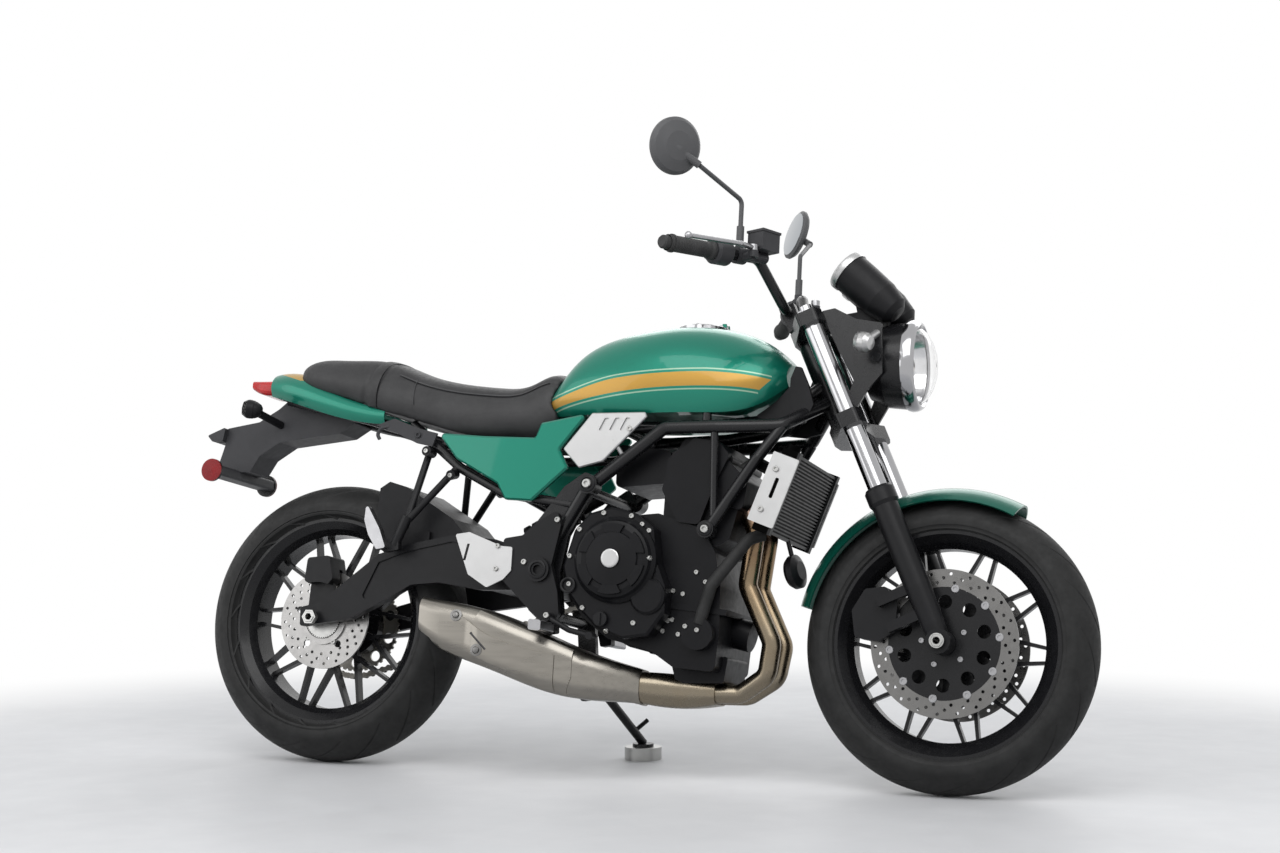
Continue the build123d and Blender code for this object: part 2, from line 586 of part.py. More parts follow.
def chain():
    loop = chain_loop()
    links = round(loop.length / CHAIN_PITCH / 2) * 2
    core = make_face(offset(loop, 4)) - make_face(offset(loop, -4))
    pins = [Pos(*(loop @ (k / links))) * Circle(6.6) for k in range(links)]
    plates = core + pins
    layers = extrude(core, amount=16) + [extrude(plates, amount=4), Pos(0, 0, 12) * extrude(plates, amount=4)]
    return Pos(0, CHAIN_Y + 8, REAR_TYRE_R) * Rot(90, 0, 0) * layers


def rear_caliper():
    body = slab([(-34, 394), (-30, 446), (24, 452), (36, 400), (12, 372)], -116, -46, 8)
    slot = Pos(0, -REAR_DISC_Y, REAR_TYRE_R) * Rot(90, 0, 0) * Cylinder(REAR_DISC_R + 6, DISC_T + 10)
    room = Pos(0, 0, REAR_TYRE_R) * Rot(90, 0, 0) * Cylinder(REAR_DISC_R - 30, 400)
    bracket = slab([(-30, 330), (-26, 420), (22, 420), (40, 340)], -95.95, -84, 4)
    return body - slot - room + bracket


# Engine
@cache
def engine_block():
    half = ENGINE_HALF_W
    case = slab([(604, 380), (612, 470), (660, 540), (800, 552), (900, 520), (930, 470), (944, 400),
                 (946, 300), (940, 224), (850, 230), (800, 262), (700, 286), (640, 330)], -half, half, 14)
    barrel = slab([(806, 530), (808, 610), (980, 600), (955, 500), (900, 470)], 12 - half, half - 12, 6)
    head = slab([(806, 606), (812, 668), (838, 694), (914, 698), (992, 622), (982, 560)],
                4 - half, half - 4, 10)
    cam = slab([(826, 684), (846, 714), (912, 714), (960, 668), (930, 650)], 14 - half, half - 14, 10)
    panel = slab([(872, 712), (852, 692), (826, 682), (806, 602), (844, 534), (892, 528), (918, 602),
                  (952, 676), (928, 704)], -half - 6, half + 6, 12)
    sump = slab([(830, 240), (842, 200), (946, 204), (954, 260)], -70, 70, 6)
    strip = slab([(640, 372), (960, 340), (962, 352), (640, 386)], -half - 3, half + 3)
    filter_can = rod((930, 0, 318), (984, 0, 306), 33)
    intake = slab([(690, 610), (690, 704), (812, 690), (812, 620)], -92, 92, 12)
    pump = rod((906, -half - 26, 300), (906, -60, 300), 34)
    bay = slab([(560, 360), (560, 500), (680, 500), (680, 360)], 80, 200)
    shaft = rod((FRONT_SPROCKET_X, 70, FRONT_SPROCKET_Z), (FRONT_SPROCKET_X, 98, FRONT_SPROCKET_Z), 14)
    pinion = rod((FRONT_SPROCKET_X, CHAIN_Y - 4, FRONT_SPROCKET_Z),
                 (FRONT_SPROCKET_X, CHAIN_Y + 4, FRONT_SPROCKET_Z), FRONT_SPROCKET_R - 4.2)
    body = case + [barrel, head, cam, panel, sump, strip, filter_can, intake, pump] - bay
    return body + [shaft, pinion] - mount_room()


def mount_room():
    return both_sides(rod((914, -200, 516), (914, -ENGINE_HALF_W, 516), 19))


def clutch_cover():
    centre = (728, 0, 446)
    base = slab([(608, 431), (622, 378), (652, 341), (692, 304), (750, 283), (806, 291), (840, 339),
                 (838, 394), (818, 440), (806, 516), (766, 546), (710, 559), (662, 545), (630, 509)],
                -164, -ENGINE_HALF_W - 3.05, 12)
    base = chamfer(base.faces().sort_by(Axis.Y)[0].edges(), 5)
    drum = turned([(0, 150), (CLUTCH_R + 7, 150), (CLUTCH_R + 7, 170), (CLUTCH_R, 178), (CLUTCH_R - 4, 186),
                   (CLUTCH_R - 16, CLUTCH_FACE_Y - 6), (58, CLUTCH_FACE_Y - 6), (56, CLUTCH_FACE_Y - 2),
                   (24, CLUTCH_FACE_Y), (0, CLUTCH_FACE_Y)], centre, (0, -1, 0))
    lug = turned([(56, 170), (CLUTCH_R - 8, 170), (CLUTCH_R - 10, CLUTCH_FACE_Y - 1),
                  (56, CLUTCH_FACE_Y - 1)], centre, (0, -1, 0))
    gap = Pos(728, -CLUTCH_FACE_Y + 2, 446) * Box(2 * CLUTCH_R, 16, 26)
    lug -= [Pos(728, 0, 446) * Rot(0, k * 60, 0) * Pos(-728, 0, -446) * gap for k in range(3)]
    cap = rod((728, -CLUTCH_FACE_Y + 1, 446), (728, -CLUTCH_FACE_Y - 3, 446), 19)
    side = turned([(0, 150), (38, 150), (38, 168), (33, 173), (0, 173)], (803, 0, 372), (0, -1, 0))
    plug = rod((701, -160, 324), (701, -170, 324), 16)
    return base + [drum, lug, cap, side, plug] - panel_room()


def panel_room():
    half = ENGINE_HALF_W + 6
    return slab([(806, 534), (844, 534), (892, 528), (918, 602), (806, 602)], -half, half)


def generator_cover():
    base = slab([(762, 400), (770, 480), (822, 500), (884, 486), (928, 440), (932, 350), (880, 300),
                 (790, 320)], ENGINE_HALF_W + 3.05, 150, 16)
    drum = turned([(0, 140), (74, 140), (74, 164), (62, 182), (0, 188)], (850, 0, 402), (0, 1, 0))
    shift = slab([(668, 404), (676, 488), (764, 490), (764, 370), (706, 344)], ENGINE_HALF_W + 3.05, 146, 12)
    return base + [drum, shift]


@cache
def radiator():
    fins = [Pos(16, 0, -78 + 7.1 * k) * Box(6, 276, 4) for k in range(23)]
    core = Box(32, 292, 172) - fins
    tank_side = Box(40, 16, 180)
    unit = core + [Pos(0, side * 150, 0) * tank_side for side in (-1, 1)]
    neck = Pos(-8, -128, 92) * Cylinder(15, 20)
    stay = Pos(-42, -110, 40) * Box(80, 16, 16)
    return Pos(1068, 0, 594) * Rot(0, 20, 0) * (unit + neck + both_sides(stay)) - engine_hangers()


def coolant_hoses():
    upper = tube([(1030, -96, 650), (1004, -96, 664), (978, -92, 650)], 13, 14)
    lower = tube([(1024, -90, 512), (1000, -112, 500), (930, -134, 400), (908, -134, 320)], 13, 24)
    return joined([upper - radiator() - engine_block(), lower - radiator() - engine_block()])


def head_covers():
    panel = slab([(1074, 872), (1064, 846), (1064, 829), (1034, 796), (994, 768), (1004, 750), (1060, 744),
                  (1098, 752), (1116, 790), (1104, 830), (1086, 870)], -76, -64)
    return both_sides(at_nose(panel) - frame())


def radiator_panels():
    panel = Box(58, 4, 150)
    slot = Pos(0, 0, 4) * Box(8, 20, 44)
    cover = Pos(-6, -160.3, 0) * fillet((panel - slot).edges().filter_by(Axis.Y), 3)
    return Pos(1068, 0, 594) * Rot(0, 20, 0) * both_sides(cover)


def horn():
    body = turned([(0, -14), (30, -14), (36, -6), (36, 6), (20, 14), (0, 14)], (1072, 0, 446),
                  (0.9, -0.2, 0.2))
    strap = rod((1064, 0, 470), (1046, 0, 530), 5)
    return body + strap - radiator()


def exhaust_headers():
    pipes = []
    for side in (-1, 1):
        y = side * 48
        pipes.append(tube([(958, y, 588), (996, y, 528), (982, y, 410), (1040, y * 0.95, 292),
                           (1030, y * 0.8, 224), (972, y * 0.62, 184), (900, y * 0.5 - 18, 182)],
                          HEADER_R, 34))
    join = loft([oval_section(925, -20, 184, 44, 24, 20), oval_section(870, -30, 184, 40, 33, 28),
                 oval_section(772, -64, 188, 36, 33, 28)])
    return joined(pipes + [join]) - engine_block()


def muffler():
    body = loft([oval_section(771.95, -64, 188, 40, 37, 30), oval_section(700, -98, 200, 58, 44, 30),
                 oval_section(620, -128, 216, 62, 55, 34), oval_section(485, -150, 262, 56, 61, 34),
                 oval_section(400, -160, 286, 50, 58, 34), oval_section(304, -168, 318, 42, 40, 26)])
    shield = loft([oval_section(650, -117, 211, 66, 56, 34), oval_section(560, -138, 237, 65, 64, 36),
                   oval_section(430, -157, 279, 57, 65, 36)])
    skin = shield & Pos(540, -250, 245) * Rot(0, 20, 0) * Box(240, 160, 96)
    outlet = rod((280, -168, 326), (360, -164, 304), 24)
    trim = slab([(280, 250), (280, 300), (330, 270), (350, 240)], -260, -100)
    hanger = rod((566, -118, 270), (566, -118, 334), 8) - frame()
    return body + skin + hanger - outlet - trim


# Bodywork
@cache
def fuel_tank():
    body = loft([
        body_section(502, 768, 778, 792, 60, 70, 50),
        body_section(552, 765, 816, 868, 94, 112, 76),
        body_section(600, 764, 830, 922, 114, 130, 88),
        body_section(680, 764, 838, 955, 130, 145, 100),
        body_section(780, 764, 842, 971, 138, TANK_HALF_W, 108),
        body_section(890, 764, 842, 969, 138, TANK_HALF_W, 106),
        body_section(980, 772, 846, 944, 126, 145, 96),
        body_section(1030, 800, 850, 912, 100, 120, 78),
        body_section(1058, 830, 856, 884, 66, 84, 54),
    ])
    x, y, z = CAP_CENTRE
    recess = rod((x, y, z), (x, y, z + 40), CAP_R + 2)
    neck = rod((x, y, z - 70), (x, y, z + 40), NECK_R)
    return body - recess - neck + cap_lugs()


def cap_lugs():
    x, y, z = CAP_HINGE
    lug = slab([(x - 4, z + 4), (x + 5, z + 4), (x + 9, z - 26), (x + 2, z - 26)], 9, 13)
    return both_sides(lug) + cap_pin(HINGE_PIN_R, 12)


def cap_pin(radius, half):
    x, y, z = CAP_HINGE
    return rod((x, -half, z), (x, half, z), radius)


def fuel_cap():
    x, y, z = CAP_CENTRE
    lid = turned([(0, 0.4), (CAP_R, 0.4), (CAP_R, 6), (CAP_R - 6, 9), (0, 10)], CAP_CENTRE, (0, 0, 1))
    arm = slab([(x + CAP_R - 10, z + 6), (x + CAP_R - 10, z + 11), (CAP_HINGE[0], CAP_HINGE[2] + HINGE_EYE_R),
                (CAP_HINGE[0], CAP_HINGE[2] - 1)], -8, 8)
    return lid + [arm, cap_pin(HINGE_EYE_R, 8)] - cap_pin(HINGE_PIN_R + RUNNING_GAP, 30)


@cache
def seat():
    body = loft([
        body_section(-112, 850, 872, 890, 50, 60, 42),
        body_section(-84, 838, 876, 909, 82, 94, 66),
        body_section(0, 818, 868, 911, 100, 110, 80),
        body_section(64, 800, 860, 910, 106, 115, 82),
        body_section(127, 780, 846, 903, 110, 119, 84),
        body_section(196, 762, 824, 878, 114, 123, 88),
        body_section(290, 735, 798, 852, 118, SEAT_HALF_W, 94),
        body_section(397, 717, 784, 840, 116, SEAT_HALF_W, 92),
        body_section(470, 714, 790, 848, 104, 118, 82),
        body_section(548, 730, 810, 862, 84, 96, 64),
    ])
    return body - fuel_tank()


@cache
def side_covers():
    panel = slab([(287, 722), (336, 664), (437, 610), (458, 575), (520, 572), (600, 644), (578, 684),
                  (640, 762), (532, 742), (520, 710), (400, 714)], -152, -140, 7)
    panel = chamfer(panel.faces().sort_by(Axis.Y)[0].edges(), 4)
    pegs = [rod((446, -142, 606), (446, -124, 594), 6), rod((556, -142, 690), (556, -100, 700), 6)]
    return both_sides(joined([panel] + pegs) - subframe() - frame())


def vent_panels():
    panel = slab([(652, 761), (772, 762), (776, 752), (682, 657), (628, 643), (590, 684)], -158, -150, 4)
    panel = chamfer(panel.faces().sort_by(Axis.Y)[0].edges(), 2)
    slot = slab([(668, 722), (682, 750), (694, 750), (680, 722)], -170, -154, 3)
    slots = [Pos(24 * k, 0, 0) * slot for k in range(3)]
    peg = rod((702, -154, 704), (722, -134, 668), 5)
    return both_sides(panel - slots + peg - frame() - side_covers())


@cache
def tail_cowl():
    def skin(inset, front, rear):
        return loft([
            body_section(front, 752 - inset, 776, 812 - inset, 102 - inset, 110 - inset, 80 - inset),
            body_section(40, 762 - inset, 800, 830 - inset, 100 - inset, 108 - inset, 80 - inset),
            body_section(-60, 788 - inset, 832, 866 - inset, 94 - inset, 102 - inset, 76 - inset),
            body_section(rear, 826 - inset, 858, 884 - inset, 62 - inset, 70 - inset, 50 - inset),
        ])

    return skin(0, 130, -190) - skin(4, 131, -184) - seat() - subframe()


def tail_light():
    return loft([oval_section(-190.1, 0, 852, 48, 16, 12), oval_section(-230, 0, 852, 46, 16, 12),
                 oval_section(-262, 0, 860, 36, 10, 8)])


@cache
def plate_hanger():
    arm = slab([(24, 768), (-17, 742), (-173, 722), (-223, 690), (-246, 652), (-318, 652), (-329, 676),
                (-316, 722), (-344, 722), (-358, 736), (-311, 756), (-231, 770),
                (-181, 800), (-150, 826), (-60, 806)], -42, 42, 4)
    lamp_lip = slab([(-316, 724), (-344, 722), (-358, 736), (-311, 756)], -58, 58, 3)
    cross = slab([(-318, 632), (-318, 656), (-272, 656), (-272, 632)], -118, 118, 6)
    return arm + [lamp_lip, cross] - tail_cowl() - subframe()


def rear_indicators():
    stalk = rod((-172, -42.8, 762), (-192, -120, 778), 9)
    lamp = turned([(0, -24), (13, -22), (21, -6), (21, 8), (15, 18), (0, 21)], (-198, -138, 782),
                  (-0.9, -0.4, 0.1))
    return both_sides(stalk + lamp - plate_hanger())


def rear_reflectors():
    disc = turned([(0, 0.2), (26, 0.2), (26, 8), (0, 10)], (-296, -118, 644), (0, -1, 0))
    return both_sides(disc)


def heel_guards():
    guard = slab([(356, 496), (389, 501), (466, 472), (492, 470), (492, 420), (475, 401), (437, 383),
                  (392, 410)], -168, -164.05, 4)
    slot = slab([(378, 440), (386, 476), (392, 476), (384, 440)], -180, -140)
    return both_sides(guard - slot)


@cache
def rider_footrests():
    hanger = slab([(589, 551), (544, 525), (512, 496), (469, 489), (468, 403), (540, 336), (590, 304),
                   (606, 330), (600, 377), (582, 433), (599, 519)], -164, -150, 8)
    boss = rod((554, -152, 423), (554, -172, 423), 26) - rod((554, -100, 423), (554, -200, 423), 10)
    pads = [rod((530, -152, 480), (530, -136.05, 480), 12), rod((536, -152, 380), (536, -136.05, 380), 12)]
    bracket = slab([(572, 318), (604, 318), (606, 290), (580, 286)], -176, -152, 4)
    pedal = tube([(588, -182, 322), (640, -184, 296), (694, -190, 284)], 6, 20)
    pivot = rod((588, -160, 322), (588, -190, 322), 10)
    toe = rod((694, -180, 284), (694, -206, 284), 8)
    return both_sides(joined([hanger, boss, bracket, pedal, pivot, toe] + pads))


def passenger_footrests():
    front = rod((252, -98, 712), (222, -146, 512), 8)
    rear = rod((326, -112, 654), (230, -146, 530), 8)
    eyes = [rod((255, -136, 684), (255, -104, 684), 11), rod((318, -136, 630), (318, -112, 636), 11)]
    foot = rod((228, -148, 536), (202, -150, 472), 11)
    fork = slab([(178, 456), (178, 482), (214, 492), (216, 462)], -158, -142, 4)
    return both_sides(joined([front, rear, foot, fork] + eyes) - subframe())


def footpegs():
    rider = slab([(576, 290), (576, 312), (604, 310), (604, 288)], -252, -176.05, 5)
    passenger = slab([(140, 562), (176, 506), (194, 464), (172, 460), (150, 492), (138, 524)],
                     -178, -158.05, 4)
    return both_sides(rider) + both_sides(passenger) - rider_footrests()


# Side stand and the puck under its foot
def stand_foot():
    y = 290.0
    low = radians(LEAN)
    return Vector(648, y * cos(low) - PUCK_H * sin(low), y * sin(low) + PUCK_H * cos(low) - TYRE_CROWN_LIFT)


def side_stand():
    foot = stand_foot()
    up = Vector(0, -sin(radians(LEAN)), cos(radians(LEAN)))
    pivot = Vector(*STAND_PIVOT)
    axis = Vector(*STAND_AXIS)
    eye = rod(pivot - axis * 9, pivot + axis * 9, 18)
    eye -= rod(pivot - axis * 60, pivot + axis * 60, 8 + RUNNING_GAP)
    leg = rod(pivot + (foot - pivot) * 0.06, foot + up * 8, 10)
    leg -= rod(pivot - axis * 60, pivot + axis * 60, 14)
    pad = Plane(origin=foot, x_dir=(1, 0, 0), z_dir=up) * Cylinder(
        24, 7, align=(Align.CENTER, Align.CENTER, Align.MIN))
    hook = foot + (pivot - foot) * 0.22
    tang = rod(hook, hook + Vector(24, 26, 30), 5)
    return eye + [leg, pad, tang]


def stand_puck():
    foot = stand_foot()
    up = Vector(0, -sin(radians(LEAN)), cos(radians(LEAN)))
    base = Plane(origin=foot - up * PUCK_H, x_dir=(1, 0, 0), z_dir=up)
    return base * Cylinder(PUCK_R, PUCK_H, align=(Align.CENTER, Align.CENTER, Align.MIN))


def stand_bracket():
    pivot = Vector(*STAND_PIVOT)
    axis = Vector(*STAND_AXIS)
    pin = rod(pivot - axis * 34, pivot + axis * 9, 8)
    cheek = slab([(546, 346), (588, 346), (606, 168), (566, 160)], 88, 104, 6)
    return cheek + pin + rod(pivot - axis * 40, pivot - axis * 11, 14)


def parked(shape):
    return Pos(-ORIGIN_X, -ORIGIN_Y, TYRE_CROWN_LIFT) * Rot(-LEAN, 0, 0) * shape


def nodes():
    return {
        "frame": frame(),
        "engine_hangers": engine_hangers(),
        "subframe": subframe(),
        "engine_block": engine_block(),
        "clutch_cover": clutch_cover(),
        "generator_cover": generator_cover(),
        "radiator": radiator(),
        "radiator_panels": radiator_panels(),
        "coolant_hoses": coolant_hoses(),
        "head_covers": head_covers(),
        "horn": horn(),
        "exhaust_headers": exhaust_headers(),
        "muffler": muffler(),
        "fuel_tank": fuel_tank(),
        "fuel_cap": fuel_cap(),
        "seat": seat(),
        "side_covers": side_covers(),
        "vent_panels": vent_panels(),
        "tail_cowl": tail_cowl(),
        "tail_light": tail_light(),
        "plate_hanger": plate_hanger(),
        "rear_indicators": rear_indicators(),
        "rear_reflectors": rear_reflectors(),
        "swingarm": swingarm(),
        "rear_shock": rear_shock(),
        "rear_hugger": rear_hugger(),
        "chain": chain(),
        "rear_caliper": rear_caliper(),
        "rear_axle": rear_axle(),
        "heel_guards": heel_guards(),
        "rider_footrests": rider_footrests(),
        "passenger_footrests": passenger_footrests(),
        "footpegs": footpegs(),
        "side_stand": side_stand(),
        "stand_puck": stand_puck(),
        "fork_yokes": fork_yokes(),
        "fork_tubes": fork_tubes(),
        "fork_sliders": fork_sliders(),
        "front_axle": front_axle(),
        "handlebar": handlebar(),
        "grips": grips(),
        "hand_controls": hand_controls(),
        "levers": levers(),
        "mirrors": mirrors(),
        "headlight_shell": headlight_shell(),
        "headlight_lens": headlight_lens(),
        "gauges": gauges(),
        "front_indicators": front_indicators(),
        "front_fender": front_fender(),
        "front_calipers": front_calipers(),
        "front_tyre": tyre(FRONT_AXLE, FRONT_TYRE_R, FRONT_TYRE_W, FRONT_RIM_W, 62.0),
        "front_rim": front_rim(),
        "front_discs": front_discs(),
        "rear_tyre": tyre(REAR_AXLE, REAR_TYRE_R, REAR_TYRE_W, REAR_RIM_W, 88.0),
        "rear_rim": rear_rim(),
        "rear_disc": rear_disc(),
        "rear_sprocket": rear_sprocket(),
    }


def main():
    os.makedirs("parts", exist_ok=True)
    for name, shape in nodes().items():
        export_step(parked(shape), os.path.join("parts", name + ".step"))


if __name__ == "__main__":
    main()
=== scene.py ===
from math import cos, pi, radians, sin, sqrt

import bpy
import numpy as np
from mathutils import Matrix, Vector
from mathutils.bvhtree import BVHTree

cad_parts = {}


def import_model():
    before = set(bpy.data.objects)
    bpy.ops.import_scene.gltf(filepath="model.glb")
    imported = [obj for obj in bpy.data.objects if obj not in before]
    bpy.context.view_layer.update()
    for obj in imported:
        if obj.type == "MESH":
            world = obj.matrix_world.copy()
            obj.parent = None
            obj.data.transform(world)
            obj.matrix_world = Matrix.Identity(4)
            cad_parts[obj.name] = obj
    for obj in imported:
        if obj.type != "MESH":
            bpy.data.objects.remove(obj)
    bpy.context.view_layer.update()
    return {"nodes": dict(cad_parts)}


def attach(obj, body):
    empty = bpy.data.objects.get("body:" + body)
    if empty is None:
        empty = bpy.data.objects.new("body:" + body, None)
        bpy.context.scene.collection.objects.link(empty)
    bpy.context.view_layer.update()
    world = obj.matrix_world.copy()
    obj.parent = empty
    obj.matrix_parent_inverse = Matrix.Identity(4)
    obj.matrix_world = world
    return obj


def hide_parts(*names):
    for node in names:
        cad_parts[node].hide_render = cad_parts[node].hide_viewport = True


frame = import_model()

# Sizes of the upright machine in millimetres: x forward, y left, z up, rear axle above the origin
LEAN = 9.2
ORIGIN = (674.6, 192.7, -1.14)
FRONT_AXLE = (1405.0, 0.0, 300.0)
REAR_AXLE = (0.0, 0.0, 312.0)
FRONT_TYRE = {"radius": 300.0, "width": 120.0, "rim": 104.0, "crown": 62.0}
REAR_TYRE = {"radius": 312.0, "width": 160.0, "rim": 122.0, "crown": 88.0}
RIM_LIP_R = 232.0
TREAD_PITCHES = 17
GROOVE_DEPTH = 3.6
DISC_Y = 66.0
BOBBIN_CIRCLE_R = 112.0
CARRIER_SCREW_R = 46.0
REAR_DISC_SCREW_R = 56.0
SPEED_RING_Y = -76.5
SPEED_RING_TEETH = 48

# Cockpit: points are given for the left side where a piece comes in pairs
HEADLIGHT = (1300.0, 0.0, 884.0)
HEADLIGHT_R = 94.0
GAUGE_AT = (1176.0, 48.0, 1079.0)
GAUGE_AXIS = (-0.75, 0.0, 0.66)
GAUGE_SWEEP = 270.0
GAUGE_MARKS = 40
MIRROR_HEADS = ((890.0, -385.0, 1267.0), (926.0, 385.0, 1292.0))
MIRROR_BACKS = ((0.77, -0.60, -0.20), (0.77, 0.60, -0.20))
FORK_WAY = (-0.4067, 0.0, 0.9135)
FORK_CAP = (1099.5, 104.0, 974.5)
FRONT_SIGNAL_AT = (1240.0, 154.0, 903.0)
FRONT_SIGNAL_WAY = (0.9, 0.25, -0.2)
REAR_SIGNAL_AT = (-198.0, 138.0, 782.0)
REAR_SIGNAL_WAY = (-0.9, 0.4, 0.1)
GRIP_RIBS = 22

# Tank, seat and tail
CAP_X = 842.0
CAP_SCREW_R = 50.6
SEAT_ENDS = (-100, 540)
SEAT_SEAM_DROP = 29.0
STRAP_MIDDLE_Z = 862.0
COVER_PLATE = ((120, 745), (164, 760), (223, 738), (272, 726), (262, 696), (223, 704), (174, 726))
COVER_Y = 120.0
LUGGAGE_HOOK = ((150, 120, 742), (134, 125, 737), (127, 126, 724), (132, 126, 713))

# Engine and exhaust
CLUTCH_AT = (728.0, -199.0, 446.0)
CLUTCH_RIM_TURNS = (72, 108, 143, 176, 207, 236)
GENERATOR_AT = (722.0, 0.0, 440.0)
GENERATOR_SCREW_R = 92.0
OIL_FILLER = (703, 322)
SIDE_PLUG = (625, 391)
BOSSES = ((652, 608, 18), (914, 516, 15), (554, 423, 20))
RADIATOR_AT = (1068.0, 0.0, 594.0)
RADIATOR_TILT = 20.0
SHIELD_ENDS = (352, 615)
SHIELD_TOP = ((352, 330), (400, 320), (466, 280), (518, 262), (616, 243))
SHIELD_SCREWS = ((392, 318), (446, 246))
SHIELD_SLOT_SHADE = ((430, 282), (466, 248))

# Places of screws seen from the side, as (x, z)
CLUTCH_SCREWS = ((715, 299), (775, 316), (833, 327), (809, 449))
CASE_SCREWS = ((783, 522), (799, 509), (842, 389), (864, 383), (881, 314), (907, 307), (891, 429),
               (858, 299), (912, 409), (823, 305), (843, 329))
PLATE_SCREWS = ((591, 530), (520, 439), (590, 325))
HEEL_SCREWS = ((458, 472), (457, 423))
PANEL_SCREWS = ((1067, 639), (1038, 556))
STRUT_SCREWS = ((255, 684), (318, 630))
VENT_SCREWS = ((740, 726),)
PIVOT_SCREWS = ((652, 608),)
HANGER_SCREWS = ((914, 516),)

# Camera and lamps, in metres of the part frame
CAMERA_AT = (1.56907, -4.21233, 0.65096)
CAMERA_AIM = (0.0364, -0.0927, 0.75094)
CAMERA_LENS = 56.64
LAMP_AIM = (0.0, 0.0, 0.6)
FLOOR_REACH = 30.0

MM = 0.001
PARKED = Matrix.Translation(-Vector(ORIGIN) * MM) @ Matrix.Rotation(radians(-LEAN), 4, "X")
UPRIGHT = PARKED.inverted()
AHEAD, RIGHT, UP = (1, 0, 0), (0, -1, 0), (0, 0, 1)
SIDES = (-1, 1)


# Mesh building
def axes_on(axis):
    """Three unit vectors, the last one along axis."""
    along = Vector(axis).normalized()
    helper = Vector(UP) if abs(along.z) < 0.9 else Vector(AHEAD)
    side = helper.cross(along).normalized()
    return np.array(side), np.array(along.cross(side)), np.array(along)


def sided(point, side):
    """A point or way of the left side, carried to the right for side -1."""
    return Vector((point[0], side * point[1], point[2]))


def smooth_path(points, steps):
    """A rounded line through the points."""
    p = np.array([points[0], *points, points[-1]], float)
    out = []
    for a, b, c, d in zip(p, p[1:], p[2:], p[3:]):
        for t in np.linspace(0, 1, steps, endpoint=False):
            out.append(0.5 * (2 * b + (c - a) * t + (2 * a - 5 * b + 4 * c - d) * t ** 2
                              + (3 * b - a - 3 * c + d) * t ** 3))
    return np.array(out + [p[-1]])


class Shell:
    """A mesh put together in millimetres of the upright machine."""

    def __init__(self):
        self.points = []
        self.faces = []
        self.looks = []
        self.count = 0

    def add(self, points, faces, look=0):
        points = np.asarray(points, float).reshape(-1, 3)
        self.faces += [[self.count + i for i in face] for face in faces]
        self.looks += [look] * len(faces)
        self.points.append(points)
        self.count += len(points)

    def grid(self, points, around=False, along=False, look=0):
        """Quads over points[row, column]; around closes the columns, along the rows."""
        rows, cols = points.shape[:2]
        faces = []
        for i in range(rows if along else rows - 1):
            for j in range(cols if around else cols - 1):
                k, n = (i + 1) % rows, (j + 1) % cols
                faces.append((i * cols + j, i * cols + n, k * cols + n, k * cols + j))
        self.add(points, faces, look)

    def lathe(self, profile, at, axis, steps=40, look=0):
        """Turns rows of (radius, height) round an axis."""
        side, up, along = axes_on(axis)
        turn = np.linspace(0, 2 * pi, steps, endpoint=False)
        ring = np.cos(turn)[:, None] * side + np.sin(turn)[:, None] * up
        shape = np.array(profile, float)
        radius = np.maximum(shape[:, 0], 0.02)
        points = np.array(at) + radius[:, None, None] * ring + shape[:, 1, None, None] * along
        self.grid(points, around=True, look=look)

    def tube(self, points, radius, sides):
        """A round bar along a line of points, closed at both ends."""
        line = np.array(points, float)
        way = np.gradient(line, axis=0)
        way /= np.linalg.norm(way, axis=1)[:, None]
        side = axes_on(way[0])[0]
        turn = np.linspace(0, 2 * pi, sides, endpoint=False)
        rings = []
        for point, along in zip(line, way):
            side = side - along * side.dot(along)
            side /= np.linalg.norm(side)
            up = np.cross(along, side)
            rings.append(point + radius * (np.cos(turn)[:, None] * side + np.sin(turn)[:, None] * up))
        first = self.count
        self.grid(np.array(rings), around=True)
        last = self.count - sides
        self.faces += [[first + i for i in reversed(range(sides))], [last + i for i in range(sides)]]
        self.looks += [0, 0]

    def screw(self, at, way, radius):
        """A round screw head with a hollow in it."""
        high = radius * 0.8
        self.lathe([(radius, -0.8), (radius, high * 0.75), (radius * 0.84, high), (radius * 0.52, high),
                    (radius * 0.48, high * 0.4), (0, high * 0.4)], at, way, 16)

    def screw_on(self, nodes, x, z, side, radius, way=None):
        """A screw on the solids at x and z, if they are met from that side."""
        found = side_touch(nodes, x, z, side)
        if found:
            self.screw(found[0], way or found[1], radius)

    def plate(self, outline, at, axes, low, high, look=0):
        """An outline of (u, v) on two axes, thick from low to high along the third."""
        u, v, w = (np.array(a, float) for a in axes)
        flat = np.array([np.array(at) + a * u + b * v for a, b in outline])
        n = len(flat)
        walls = [(i, (i + 1) % n, n + (i + 1) % n, n + i) for i in range(n)]
        faces = [tuple(reversed(range(n))), tuple(range(n, 2 * n)), *walls]
        self.add(np.vstack([flat + low * w, flat + high * w]), faces, look)

    def done(self, name, looks, body, smooth=True, replaces=(), slot=None):
        """Makes the object, in the part frame, riding on its body."""
        turn = np.array(PARKED.to_3x3())
        points = np.vstack(self.points) * MM @ turn.T + np.array(PARKED.translation)
        mesh = bpy.data.meshes.new(name)
        mesh.from_pydata(points.tolist(), [], self.faces)
        for look in looks:
            mesh.materials.append(MAT[look])
        mesh.polygons.foreach_set("material_index", self.looks)
        mesh.polygons.foreach_set("use_smooth", [smooth] * len(self.faces))
        mesh.update()
        made = bpy.data.objects.new(name, mesh)
        bpy.context.scene.collection.objects.link(made)
        if smooth:
            crease(made)
        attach(made, body)
        if replaces:
            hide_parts(*replaces)


def crease(made, angle=34.0):
    """Keeps edges sharper than the angle crisp on a smooth mesh."""
    bpy.context.view_layer.objects.active = made
    made.select_set(True)
    bpy.ops.object.shade_smooth_by_angle(angle=radians(angle))
    made.select_set(False)


# Places on the solids
TREES = {}


